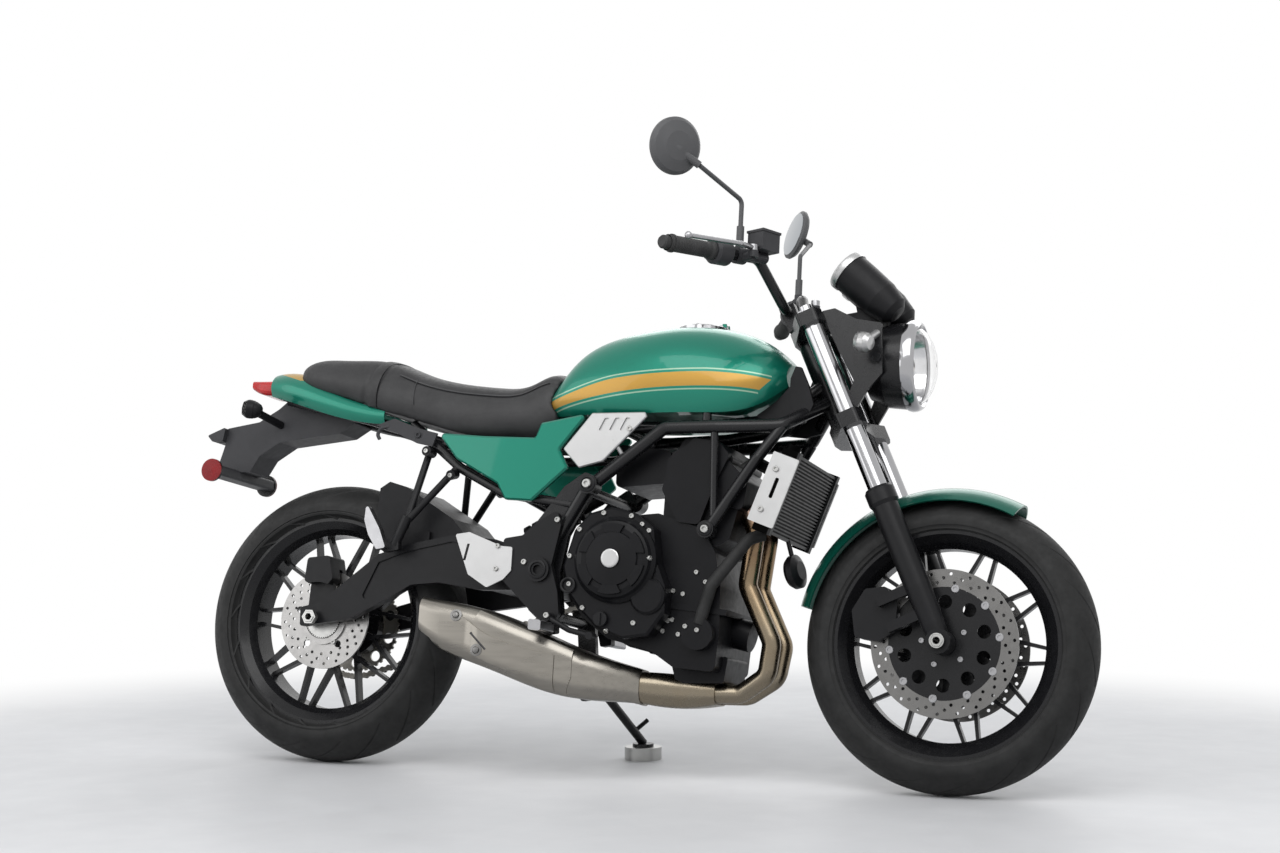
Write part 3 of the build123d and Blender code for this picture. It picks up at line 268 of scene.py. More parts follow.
def tree_of(node):
    """A search tree over a solid's mesh, in millimetres of the upright machine."""
    if node not in TREES:
        mesh = frame["nodes"][node].data
        points = [(UPRIGHT @ v.co) / MM for v in mesh.vertices]
        TREES[node] = BVHTree.FromPolygons(points, [p.vertices[:] for p in mesh.polygons])
    return TREES[node]


def touch(nodes, start, way):
    """The first place and normal met on the solids from a start along a way, or nothing."""
    best, nearest = None, float("inf")
    for node in nodes:
        place, normal, _, far = tree_of(node).ray_cast(Vector(start), Vector(way).normalized())
        if place and far < nearest:
            outward = normal if normal.dot(Vector(way)) < 0 else -normal
            best, nearest = (np.array(place), np.array(outward)), far
    return best


def side_touch(nodes, x, z, side):
    """The place on the solids seen from the right (side -1) or left (1) at x and z."""
    return touch(nodes, (x, side * 700, z), (0, -side, 0))


def on_circle(centre, radius, turn):
    """The place (x, z) on a circle seen from the side, at a turn in degrees."""
    return centre[0] + radius * cos(radians(turn)), centre[2] + radius * sin(radians(turn))


def rim_places(node, centre, turns, inset=8, step=2):
    """Places (x, z) just inside a cover's outline, seen from the right, at turns in degrees round it."""
    places = []
    for turn in turns:
        spots = [on_circle(centre, far, turn) for far in range(40, 180, step)]
        met = [k for k, (x, z) in enumerate(spots) if side_touch([node], x, z, -1)]
        places.append(spots[met[-1] - inset // step])
    return places


def seat_line():
    """Places along the seat and the heights of its middle there, read from its solid."""
    spots = range(SEAT_ENDS[0], SEAT_ENDS[1] + 1, 20)
    return spots, [touch(["seat"], (x, 0, 1300), (0, 0, -1))[0][2] for x in spots]


SEAT_LINE = seat_line()


# Materials
class Look:
    """A material under construction, with one principled shader."""

    def __init__(self, name, **sockets):
        self.made = bpy.data.materials.new(name)
        self.made.use_nodes = True
        self.tree = self.made.node_tree
        self.shader = self.tree.nodes["Principled BSDF"]
        for socket, value in sockets.items():
            self.shader.inputs[socket.replace("_", " ")].default_value = value

    def node(self, kind, inputs=None, **settings):
        """A shader node, with values or links on its inputs."""
        made = self.tree.nodes.new("ShaderNode" + kind)
        for key, value in settings.items():
            setattr(made, key, value)
        for key, value in (inputs or {}).items():
            if isinstance(value, bpy.types.NodeSocket):
                self.tree.links.new(value, made.inputs[key])
            else:
                made.inputs[key].default_value = value
        return made

    def place(self, scale=(1, 1, 1)):
        """Coordinates of the upright machine in metres, stretched by scale."""
        source = self.node("TexCoord").outputs["Object"]
        inputs = {"Vector": source, "Location": UPRIGHT.translation, "Rotation": UPRIGHT.to_euler()}
        upright = self.node("Mapping", inputs).outputs[0]
        if scale == (1, 1, 1):
            return upright
        return self.node("Mapping", {"Vector": upright, "Scale": scale}).outputs[0]

    def axes(self):
        """The three coordinates of the upright machine, in metres."""
        return self.node("SeparateXYZ", {0: self.place()}).outputs

    def noise(self, scale, detail=4.0, rough=0.55, stretch=(1, 1, 1)):
        inputs = {"Vector": self.place(stretch), "Scale": scale, "Detail": detail, "Roughness": rough}
        return self.node("TexNoise", inputs).outputs[0]

    def cells(self, scale):
        inputs = {"Vector": self.place(), "Scale": scale}
        return self.node("TexVoronoi", inputs, feature="F1").outputs["Distance"]

    def ramp(self, factor, stops):
        """A colour that follows rows of (place, colour)."""
        made = self.node("ValToRGB", {"Fac": factor})
        while len(made.color_ramp.elements) < len(stops):
            made.color_ramp.elements.new(0.5)
        for element, (spot, colour) in zip(made.color_ramp.elements, stops):
            element.position = spot
            element.color = (*colour, 1.0)
        return made.outputs[0]

    def tint(self, factor, dark, pale):
        """A colour that drifts between two with a noise."""
        return self.ramp(factor, [(0.3, dark), (0.7, pale)])

    def spread(self, value, low, high, from_low=0.3, from_high=0.7, kind="LINEAR"):
        """A value carried from one range to another."""
        inputs = {"Value": value, "From Min": from_low, "From Max": from_high, "To Min": low, "To Max": high}
        return self.node("MapRange", inputs, interpolation_type=kind).outputs[0]

    def math(self, operation, *values):
        return self.node("Math", dict(enumerate(values)), operation=operation).outputs[0]

    def mix(self, factor, a, b):
        """Colour a where the factor is zero, b where it is one."""
        made = self.node("Mix", data_type="RGBA")
        for index, value in ((0, factor), (6, a), (7, b)):
            if isinstance(value, bpy.types.NodeSocket):
                self.tree.links.new(value, made.inputs[index])
            else:
                made.inputs[index].default_value = (*value, 1.0)
        return made.outputs[2]

    def bump(self, height, depth, strength=1.0):
        made = self.node("Bump", {"Height": height, "Distance": depth, "Strength": strength})
        self.set("Normal", made.outputs[0])

    def set(self, socket, value):
        self.tree.links.new(value, self.shader.inputs[socket])


def shade(colour, factor):
    """A colour made darker or paler."""
    return tuple(min(1.0, c * factor) for c in colour)


def finish_look(name, colour, rough, metal=0.0, gloss=0.5, mottle=0.12, grain=900.0, depth=0.00004,
                spread=0.06):
    """A finish with a slightly uneven colour and gloss and a fine grain."""
    look = Look(name, Metallic=metal, Specular_IOR_Level=gloss)
    dark, pale = shade(colour, 1 - mottle), shade(colour, 1 + mottle)
    look.set("Base Color", look.tint(look.noise(14.0, 3.0), dark, pale))
    look.set("Roughness", look.spread(look.noise(70.0, 5.0, 0.6), rough - spread, rough + spread))
    look.bump(look.noise(grain, 3.0, 0.6), depth)
    return look.made


def green_look(name, tone=1.0):
    """Metallic green lacquer, darker with a tone under one; the tone paints shade into the colour."""
    look = Look(name, Metallic=0.5, Specular_IOR_Level=0.2, Coat_Weight=0.4, Coat_Roughness=0.03)
    flake = look.noise(1500.0, 2.0)
    tint = look.tint(flake, shade((0.005, 0.160, 0.108), tone), shade((0.008, 0.190, 0.129), tone))
    look.set("Roughness", look.spread(look.noise(120.0, 3.0), 0.30, 0.36))
    look.bump(look.noise(90.0, 2.0), 0.000008)
    return look, tint


def band(look, value, low, high, soft):
    """One between low and high of a varying value, zero outside."""
    rise = look.spread(value, 0.0, 1.0, low - soft, low + soft, "SMOOTHSTEP")
    fall = look.spread(value, 1.0, 0.0, high - soft, high + soft, "SMOOTHSTEP")
    return look.math("MULTIPLY", rise, fall)


def tank_look():
    """The green lacquer with a gold side stripe between two pale lines."""
    look, tint = green_look("tank_green")
    x, y, z = look.axes()
    from_top = look.math("SUBTRACT", x, 0.870)
    fall = look.math("MULTIPLY", look.math("MULTIPLY", from_top, from_top), 0.353)
    above = look.math("ADD", look.math("SUBTRACT", z, 0.8185), fall)
    thick = look.math("ADD", look.spread(x, 0.019, 0.031, 0.54, 0.70, "SMOOTHSTEP"),
                      look.spread(x, 0.0, -0.005, 0.90, 1.04))
    over = look.math("SUBTRACT", above, thick)
    gold = look.math("MULTIPLY", look.spread(above, 0.0, 1.0, -0.0004, 0.0004),
                     look.spread(over, 1.0, 0.0, -0.0004, 0.0004))
    lines = look.math("ADD", band(look, over, 0.0052, 0.0082, 0.0004),
                      band(look, above, -0.0082, -0.0052, 0.0004))
    slant = look.math("SUBTRACT", x, look.spread(z, 1.010, 1.035, 0.808, 0.836))
    behind = look.spread(slant, 1.0, 0.0, -0.0005, 0.0005)
    wide = look.spread(look.math("ABSOLUTE", y), 0.0, 1.0, 0.060, 0.064)
    shown = look.math("MULTIPLY", behind, wide)
    colour = look.mix(look.math("MULTIPLY", gold, shown), tint, (0.40, 0.225, 0.038))
    colour = look.mix(look.math("MULTIPLY", lines, shown), colour, (0.26, 0.40, 0.29))
    look.set("Base Color", colour)
    return look.made


def tail_look():
    """The green lacquer with a tan panel on top of the cowl."""
    look, tint = green_look("tail_green")
    x, _, z = look.axes()
    edge = look.spread(x, 0.882, 0.858, -0.182, -0.105)
    on_top = look.spread(look.math("SUBTRACT", z, edge), 0.0, 1.0, -0.0005, 0.0005)
    look.set("Base Color", look.mix(on_top, tint, (0.44, 0.27, 0.06)))
    return look.made


def plain_green(name, tone=1.0):
    """The green lacquer alone."""
    look, tint = green_look(name, tone)
    look.set("Base Color", tint)
    return look.made


def header_look():
    """Stainless pipe bronzed by heat towards the cylinder head."""
    look = Look("header_steel", Metallic=1.0)
    _, _, z = look.axes()
    patchy = look.spread(look.noise(18.0), -0.12, 0.12)
    heat = look.math("ADD", look.spread(z, 0.0, 1.0, 0.20, 0.56), patchy)
    look.set("Base Color", look.ramp(heat, [(0.0, (0.22, 0.19, 0.145)), (0.45, (0.24, 0.185, 0.12)),
                                            (0.8, (0.20, 0.135, 0.08)), (1.0, (0.14, 0.095, 0.08))]))
    look.set("Roughness", look.spread(look.noise(60.0, 3.0), 0.22, 0.32))
    look.bump(look.noise(120.0), 0.000003)
    return look.made


def brushed(name, colour, stretch, rough):
    """Metal with fine lines along one way."""
    look = Look(name, Metallic=1.0)
    lines = look.noise(110.0, 2.0, 0.5, stretch)
    look.set("Base Color", look.tint(lines, shade(colour, 0.94), shade(colour, 1.05)))
    look.set("Roughness", look.spread(lines, rough - 0.04, rough + 0.04))
    look.bump(look.noise(60.0, 2.0), 0.000006)
    return look.made


def seat_look():
    """Grained black covering."""
    look = Look("seat_cover", Specular_IOR_Level=0.42)
    look.set("Base Color", look.tint(look.noise(20.0, 3.0), (0.010, 0.010, 0.011), (0.022, 0.022, 0.023)))
    look.set("Roughness", look.spread(look.noise(120.0), 0.42, 0.56))
    look.bump(look.cells(900.0), 0.00035, 0.7)
    return look.made


def rubber_look(name, tone=0.016, rough=0.62):
    """Dull black rubber."""
    look = Look(name, Specular_IOR_Level=0.26)
    look.set("Base Color", look.tint(look.noise(26.0, 4.0), (tone * 0.7,) * 3, (tone * 1.35,) * 3))
    look.set("Roughness", look.spread(look.noise(90.0), rough - 0.08, rough + 0.08))
    look.bump(look.noise(1600.0, 3.0), 0.00008)
    return look.made


def glass_look(name, colour=(1.0, 1.0, 1.0), rough=0.02):
    """Clear or tinted lamp glass."""
    look = Look(name, Base_Color=(*colour, 1.0), Transmission_Weight=1.0, IOR=1.3)
    look.set("Roughness", look.spread(look.noise(200.0), rough, rough + 0.03))
    look.bump(look.noise(60.0, 2.0), 0.00001)
    return look.made


def lens_red_look():
    """Red plastic lens with a fine moulded ribbing."""
    look = Look("red_lens", Coat_Weight=0.3, Specular_IOR_Level=0.3, Transmission_Weight=0.2, IOR=1.4)
    look.set("Base Color", look.tint(look.noise(50.0), (0.42, 0.004, 0.006), (0.60, 0.012, 0.012)))
    look.set("Roughness", look.spread(look.noise(300.0), 0.10, 0.20))
    ribs = look.node("TexWave", {"Vector": look.place(), "Scale": 90.0}, bands_direction="Z").outputs[1]
    look.bump(ribs, 0.0004, 0.6)
    return look.made


def reflector_look():
    """Red outer faces on black cups."""
    look = Look("reflector", Specular_IOR_Level=0.2)
    _, y, _ = look.axes()
    outer = look.spread(look.math("ABSOLUTE", y), 0.0, 1.0, 0.1235, 0.1240)
    red = look.tint(look.noise(60.0), (0.17, 0.005, 0.007), (0.22, 0.008, 0.010))
    look.set("Base Color", look.mix(outer, (0.012, 0.012, 0.012), red))
    look.set("Roughness", look.spread(look.noise(200.0), 0.22, 0.34))
    look.bump(look.cells(420.0), 0.0006, 0.5)
    return look.made


def radiator_look():
    """Black core with painted shade in the grooves: they are darker and less glossy than the ribs between
    them.
    """
    look = Look("radiator_black")
    x, _, z = look.axes()
    tilt = radians(RADIATOR_TILT)
    ahead = look.math("MULTIPLY", look.math("SUBTRACT", x, RADIATOR_AT[0] * MM), cos(tilt))
    below = look.math("MULTIPLY", look.math("SUBTRACT", z, RADIATOR_AT[2] * MM), sin(tilt))
    rib_outside_groove_shade = look.spread(look.math("SUBTRACT", ahead, below), 0.0, 1.0, 0.0140, 0.0156)
    tone = look.tint(look.noise(30.0), (0.010, 0.010, 0.011), (0.016, 0.016, 0.017))
    # Painted shade: the grooves get a near-black colour here, and little gloss on the next line.
    look.set("Base Color", look.mix(rib_outside_groove_shade, (0.001, 0.001, 0.001), tone))
    look.set("Specular IOR Level", look.spread(rib_outside_groove_shade, 0.02, 0.24, 0.0, 1.0))
    look.set("Roughness", look.spread(look.noise(70.0), 0.36, 0.46))
    look.bump(look.noise(900.0, 3.0), 0.00002)
    return look.made


FINE = {"grain": 300.0, "depth": 0.00001}
STEEL = {"metal": 1.0, "mottle": 0.08, **FINE}
POLISHED = {"metal": 1.0, "mottle": 0.03, "spread": 0.03, **FINE}
EVEN_FINISHES = {
    "gloss_black": {"colour": (0.008, 0.008, 0.009), "rough": 0.26, "gloss": 0.32, "spread": 0.04,
                    "grain": 500.0, "depth": 0.00002},
    "wheel_black": {"colour": (0.008, 0.008, 0.009), "rough": 0.26, "gloss": 0.28, "grain": 600.0},
    "satin_black": {"colour": (0.007, 0.007, 0.008), "rough": 0.38, "gloss": 0.20},
    "engine_black": {"colour": (0.005, 0.005, 0.006), "rough": 0.38, "gloss": 0.15, "grain": 520.0,
                     "depth": 0.00010},
    "black_plastic": {"colour": (0.007, 0.007, 0.008), "rough": 0.45, "gloss": 0.18, "grain": 1300.0,
                      "depth": 0.00008},
    "grey_plastic": {"colour": (0.036, 0.036, 0.039), "rough": 0.52, "gloss": 0.25, "grain": 1300.0,
                     "depth": 0.00003},
    "mirror_grey": {"colour": (0.085, 0.085, 0.088), "rough": 0.50, "gloss": 0.25, "mottle": 0.05,
                    "depth": 0.00002},
    "silver_paint": {"colour": (0.46, 0.46, 0.46), "rough": 0.36, "metal": 0.85, "mottle": 0.04,
                     "grain": 200.0, "depth": 0.000006},
    "chrome": {"colour": (0.38, 0.38, 0.39), "rough": 0.13, **POLISHED},
    "bowl_bright": {"colour": (0.74, 0.74, 0.75), "rough": 0.14, **POLISHED},
    "alloy": {"colour": (0.34, 0.34, 0.35), "rough": 0.32, "metal": 1.0, "mottle": 0.06, **FINE},
    "zinc": {"colour": (0.42, 0.42, 0.41), "rough": 0.34, "metal": 1.0, **FINE},
    "disc_steel": {"colour": (0.31, 0.305, 0.30), "rough": 0.30, **STEEL},
    "dark_steel": {"colour": (0.175, 0.172, 0.168), "rough": 0.30, **STEEL},
    "chain_steel": {"colour": (0.24, 0.23, 0.21), "rough": 0.40, "metal": 1.0, "mottle": 0.25},
    "mirror_glass": {"colour": (0.40, 0.42, 0.44), "rough": 0.03, "metal": 1.0, "mottle": 0.02,
                     "spread": 0.01, "depth": 0.000004},
    "dial_black": {"colour": (0.012, 0.012, 0.014), "rough": 0.55},
    "dial_white": {"colour": (0.80, 0.80, 0.78), "rough": 0.50, "mottle": 0.03},
    "needle_red": {"colour": (0.70, 0.03, 0.02), "rough": 0.40, "mottle": 0.05},
    "lcd_grey": {"colour": (0.30, 0.34, 0.32), "rough": 0.35, "mottle": 0.05},
    "seam_thread": {"colour": (0.030, 0.030, 0.032), "rough": 0.60},
}
MAT = {name: finish_look(name, **values) for name, values in EVEN_FINISHES.items()}
MAT |= {
    "radiator_black": radiator_look(),
    "muffler_steel": brushed("muffler_steel", (0.25, 0.235, 0.21), (0.05, 1.0, 1.0), 0.30),
    "header_steel": header_look(),
    "tank_green": tank_look(),
    "tail_green": tail_look(),
    "cover_green": plain_green("cover_green"),
    # The front fender's green is darkened to a 0.55 tone as painted shade.
    "fender_green_painted_shade": plain_green("fender_green_painted_shade", 0.55),
    "seat_cover": seat_look(),
    "rubber": rubber_look("rubber"),
    "grip_rubber": rubber_look("grip_rubber", 0.034, 0.60),
    "tyre": rubber_look("tyre_rubber", 0.014),
    "clear_glass": glass_look("clear_glass"),
    "smoke_glass": glass_look("smoke_glass", (0.75, 0.72, 0.68)),
    "amber": glass_look("amber", (1.0, 0.55, 0.12), 0.06),
    "red_lens": lens_red_look(),
    "reflector": reflector_look(),
}

# Finish of each solid
FINISHES = {
    "gloss_black": ["frame", "engine_hangers", "subframe", "headlight_shell", "fork_yokes", "side_stand",
                    "handlebar"],
    "satin_black": ["fork_sliders", "swingarm", "front_calipers", "rear_caliper", "rider_footrests",
                    "passenger_footrests", "rear_shock", "horn"],
    "engine_black": ["engine_block", "clutch_cover", "generator_cover"],
    "radiator_black": ["radiator"],
    "black_plastic": ["head_covers", "gauges", "rear_hugger", "rear_indicators"],
    "grey_plastic": ["plate_hanger", "hand_controls"],
    "mirror_grey": ["mirrors"],
    "wheel_black": ["front_rim", "rear_rim"],
    "silver_paint": ["vent_panels", "heel_guards", "radiator_panels", "front_indicators"],
    "zinc": ["front_axle", "rear_axle", "stand_puck"],
    "chrome": ["fork_tubes", "fuel_cap"],
    "alloy": ["levers", "footpegs"],
    "muffler_steel": ["muffler"],
    "header_steel": ["exhaust_headers"],
    "disc_steel": ["rear_disc"],
    "dark_steel": ["front_discs"],
    "chain_steel": ["chain", "rear_sprocket"],
    "tank_green": ["fuel_tank"],
    "tail_green": ["tail_cowl"],
    "cover_green": ["side_covers"],
    "fender_green_painted_shade": ["front_fender"],
    "seat_cover": ["seat"],
    "grip_rubber": ["grips"],
    "rubber": ["coolant_hoses"],
    "tyre": ["front_tyre", "rear_tyre"],
    "clear_glass": ["headlight_lens"],
    "red_lens": ["tail_light"],
    "reflector": ["rear_reflectors"],
}


def dress():
    """Gives every solid its finish."""
    for finish, nodes in FINISHES.items():
        for name in nodes:
            materials = frame["nodes"][name].data.materials
            materials.clear()
            materials.append(MAT[finish])


# Wheels
def tyre(name, axle, sizes, body, node):
    """A tyre with grooves that curve from the crown to the shoulders."""
    radius, crown = sizes["radius"], sizes["crown"]
    half = sizes["width"] / 2
    edge = half - 4
    edge_r = radius - crown + sqrt(crown ** 2 - edge ** 2)
    lip = RIM_LIP_R - 0.5
    bead = sizes["rim"] / 2 + 1.5
    tread = [(s, radius - crown + sqrt(crown ** 2 - s ** 2)) for s in np.linspace(-edge, edge, 45)]
    wall = [(edge + 1.6, edge_r - 2.5), (half - 0.6, edge_r - 8), (half, edge_r - 15),
            (half - 0.4, edge_r - 22), (half - 2.4, lip + 14), (half - 1.6, lip + 11), (half - 3.4, lip + 7),
            (bead + 3, lip + 3), (bead, lip), (bead - 8, lip)]
    profile = [(-s, r) for s, r in reversed(wall)] + tread + wall
    steps = (0.0, 0.10, 0.20, 0.235, 0.26, 0.285, 0.32, 0.42,
             0.52, 0.62, 0.70, 0.735, 0.76, 0.785, 0.82, 0.91)
    pitch = 2 * pi / TREAD_PITCHES
    rows = []
    for p in range(TREAD_PITCHES):
        for step in steps:
            row = []
            for s, r in profile:
                reach = min(abs(s), edge) / edge
                turn = pitch * (p + step) + pitch * 1.25 * reach ** 1.5
                groove = 0.25 if s < 0 else 0.75
                cut = groove < step < groove + 0.05 and 0.16 < reach < 0.93 and abs(s) < edge - 1
                r -= GROOVE_DEPTH if cut else 0.0
                row.append((axle[0] + r * cos(turn), s, axle[2] + r * sin(turn)))
            rows.append(row)
    shell = Shell()
    shell.grid(np.array(rows), along=True)
    shell.done(name, ["tyre"], body, replaces=(node,), slot="tyre")


def disc_bobbins():
    """Bright bobbins between the front discs and their carriers, and screws of the rear disc."""
    front = Shell()
    for side in SIDES:
        for k in range(10):
            x, z = on_circle(FRONT_AXLE, BOBBIN_CIRCLE_R, 36 * k + 8)
            at = (x, side * (DISC_Y - 4), z)
            front.lathe([(8.4, 0), (8.4, 8.2), (7.4, 9), (4, 9), (3.6, 7), (0, 7)], at, (0, side, 0), 20)
        for k in range(5):
            x, z = on_circle(FRONT_AXLE, CARRIER_SCREW_R, 72 * k + 30)
            front.screw_on(["front_rim"], x, z, side, 6.0, (0, side, 0))
    front.done("front_bobbins", ["alloy"], "front_wheel", slot="disc_steel")
    rear = Shell()
    for k in range(5):
        x, z = on_circle(REAR_AXLE, REAR_DISC_SCREW_R, 72 * k + 12)
        rear.screw_on(["rear_disc", "rear_rim"], x, z, -1, 6.4, RIGHT)
    teeth = []
    for k in range(2 * SPEED_RING_TEETH):
        turn = pi * k / SPEED_RING_TEETH
        radius = 43.0 if k % 2 else 39.5
        teeth.append((radius * cos(turn), radius * sin(turn)))
    rear.plate(teeth, (0, SPEED_RING_Y, REAR_AXLE[2]), (AHEAD, UP, RIGHT), -2, 1.5)
    rear.done("rear_disc_screws", ["zinc"], "rear_wheel", slot="disc_steel")


def axle_ends():
    """Nuts on the axle ends."""
    for name, axle, body in (("front", FRONT_AXLE, "steering"), ("rear", REAR_AXLE, "chassis")):
        shell = Shell()
        for side in SIDES:
            found = side_touch([name + "_axle"], axle[0] + 8.5, axle[2], side)
            if found:
                at = (axle[0], found[0][1], axle[2])
                shell.lathe([(13.5, -2), (13.5, 1.0), (12.4, 2.0), (8.4, 2.0), (7.8, 0)], at, (0, side, 0), 6)
        shell.done(name + "_axle_nuts", ["zinc"], body, slot="disc_steel")


# Cockpit and signals
def headlight():
    """Chrome ring, clear lens, bright bowl and the lamps inside it."""
    r = HEADLIGHT_R
    face, _, middle = HEADLIGHT
    ring = Shell()
    ring.lathe([(r - 13, 22), (r - 8, 28), (r - 3, 26), (r, 22), (r + 2.4, 15), (r + 3, 8), (r + 1, 0.4),
                (r - 6, 0.4)], HEADLIGHT, AHEAD, 96)
    ring.done("headlight_ring", ["chrome"], "steering", replaces=("headlight_lens",), slot="chrome")
    bowl = Shell()
    bowl.lathe([(r - 13, 20), (r - 16, 0), (66, -24), (48, -46), (24, -60), (0, -62)], HEADLIGHT, AHEAD, 72)
    bowl.lathe([(34, -50), (34, -4), (30, 0), (27, -4)], HEADLIGHT, AHEAD, 48)
    bar = [(-74, -3), (74, -3), (74, 3), (-74, 3)]
    bowl.plate(bar, (face - 38, 0, middle), ((0, 1, 0), UP, AHEAD), 0, 36)
    bowl.done("headlight_bowl", ["bowl_bright"], "steering", slot="chrome")
    lamp = Shell()
    lamp.lathe([(27, -10), (24, 2), (16, 9), (0, 13)], HEADLIGHT, AHEAD, 40)
    for side in SIDES:
        for rise in (16, -16):
            lamp.lathe([(7, 0), (6, 4), (0, 6)], (face - 14, side * 50, middle + rise), AHEAD, 20)
    lamp.done("headlight_lamps", ["smoke_glass"], "steering", slot="lamp_glass")
    lens = Shell()
    dome = [(r - 13, 21), (r - 15, 27), (68, 38), (52, 47), (34, 53.5), (16, 57), (0, 58)]
    inner = [(radius * 0.985, height - 2.4) for radius, height in reversed(dome)]
    lens.lathe(dome + inner, HEADLIGHT, AHEAD, 72)
    lens.done("headlight_glass", ["clear_glass"], "steering", slot="lamp_glass")


def gauge_faces():
    """Bright bezels, dials with ticks and needles, and a small screen."""
    side_on, up_on, way = axes_on(GAUGE_AXIS)

    def spoke(part):
        """Axes of a mark or needle, part of the way along the sweep."""
        turn = radians(GAUGE_SWEEP * (part - 0.5))
        out = sin(turn) * side_on + cos(turn) * up_on
        return out, np.cross(way, out), way

    bezel, dial, glass = Shell(), Shell(), Shell()
    for side in SIDES:
        at = sided(GAUGE_AT, side)
        bezel.lathe([(44.2, -2.6), (46.2, -2.6), (46.8, 2), (46.8, 10), (45, 13.2), (41.5, 14), (38.8, 12.6),
                     (38.6, 7)], at, way, 64)
        dial.lathe([(38.4, 6.5), (0, 6.6)], at, way, 48)
        for k in range(GAUGE_MARKS + 1):
            long, wide = (7.0, 0.9) if k % 5 == 0 else (4.0, 0.5)
            mark = [(37 - long, -wide), (37, -wide), (37, wide), (37 - long, wide)]
            dial.plate(mark, at, spoke(k / GAUGE_MARKS), 6.7, 7.0, 1)
        dial.plate([(-7, -1.3), (29, -0.5), (29, 0.5), (-7, 1.3)], at, spoke(0), 7.6, 8.2, 2)
        dial.lathe([(4.6, 6.6), (4.6, 8.8), (0, 9.2)], at, way, 20)
        dial.plate([(-13, -22), (13, -22), (13, -11), (-13, -11)], at, (side_on, up_on, way), 6.7, 7.1, 3)
        glass.lathe([(39.4, 9.6), (0, 10.4), (0, 11.4), (39.4, 10.6)], at, way, 48)
    bezel.done("gauge_bezels", ["silver_paint"], "steering", slot="chrome")
    dial.done("gauge_dials", ["dial_black", "dial_white", "needle_red", "lcd_grey"], "steering", smooth=False)
    glass.done("gauge_glass", ["clear_glass"], "steering", slot="lamp_glass")


def mirror_glass():
    """The glasses on the rider's side of the mirror heads."""
    shell = Shell()
    for head, back in zip(MIRROR_HEADS, MIRROR_BACKS):
        shell.lathe([(52, 7.0), (52, 7.8), (50, 8.2), (0, 8.2)], head, -Vector(back), 56)
    shell.done("mirror_glass", ["mirror_glass"], "steering", slot="chrome")


def fork_caps():
    """Bright caps with a six-sided boss on the fork tubes."""
    shell = Shell()
    for side in SIDES:
        at = sided(FORK_CAP, side)
        shell.lathe([(19.6, -2), (19.6, 4), (18, 6.4), (13, 6.4)], at, FORK_WAY, 40)
        shell.lathe([(13, 6), (13, 11), (12, 12), (8, 12), (7.6, 9), (0, 9)], at, FORK_WAY, 6)
    shell.done("fork_caps", ["chrome"], "steering", slot="chrome")


def front_signals():
    """Clear faceted lenses on the front signals, with a bowl and a bulb in each."""
    lens, inner = Shell(), Shell()
    for side in SIDES:
        way = sided(FRONT_SIGNAL_WAY, side).normalized()
        at = sided(FRONT_SIGNAL_AT, side) - way * 6
        lens.lathe([(21, -8), (21.6, 2), (20.6, 12), (16.4, 19), (8, 22), (0, 23), (0, 21), (7.6, 20),
                    (15.4, 17.4), (19, 11.4), (19.6, 2), (19.4, -8)], at, way, 12)
        inner.lathe([(19, -6), (12, -9), (5, -10), (0, -10)], at + way * 8, way, 24)
        inner.lathe([(4.4, -8), (4.4, 0), (2.4, 3), (0, 3.6)], at + way * 8, way, 14, 1)
    lens.done("front_signal_lenses", ["clear_glass"], "steering", smooth=False, slot="lamp_glass")
    inner.done("front_signal_bowls", ["chrome", "amber"], "steering", slot="chrome")


def rear_signals():
    """Black bullet bodies and smoked lenses of the rear signals."""
    body, lens = Shell(), Shell()
    for side in SIDES:
        way = sided(REAR_SIGNAL_WAY, side).normalized()
        at = sided(REAR_SIGNAL_AT, side)
        body.lathe([(8, -26), (14, -22), (19, -12), (21.6, 0), (21.6, 6), (19.6, 7)], at, way, 32)
        lens.lathe([(20.4, 5), (20.2, 10), (17, 15), (9, 18), (0, 19)], at, way, 32)
    body.done("rear_signal_bodies", ["black_plastic"], "chassis", slot="black_plastic")
    lens.done("rear_signal_lenses", ["smoke_glass"], "chassis", slot="lamp_glass")


def grip_line(side):
    """The outer end, way inwards and length of a grip, read from its solid."""
    points = np.array([(UPRIGHT @ v.co) / MM for v in frame["nodes"]["grips"].data.vertices])
    points = points[points[:, 1] * side > 0]
    middle = points.mean(0)
    way = np.linalg.svd(points - middle, full_matrices=False)[2][0]
    way = way if way[1] * side < 0 else -way
    along = (points - middle) @ way
    return middle + way * along.min(), way, float(np.ptp(along))


def grip_ribs():
    """Raised ribs round both grips."""
    shell = Shell()
    for side in SIDES:
        start, way, length = grip_line(side)
        profile = []
        for k in range(GRIP_RIBS):
            near = 16 + k * (length - 34) / GRIP_RIBS
            profile += [(15.9, near), (16.9, near + 0.8), (16.9, near + 2.2), (15.9, near + 3.0)]
        shell.lathe(profile, start, way, 32)
    shell.done("grip_ribs", ["grip_rubber"], "steering", slot="rubber")


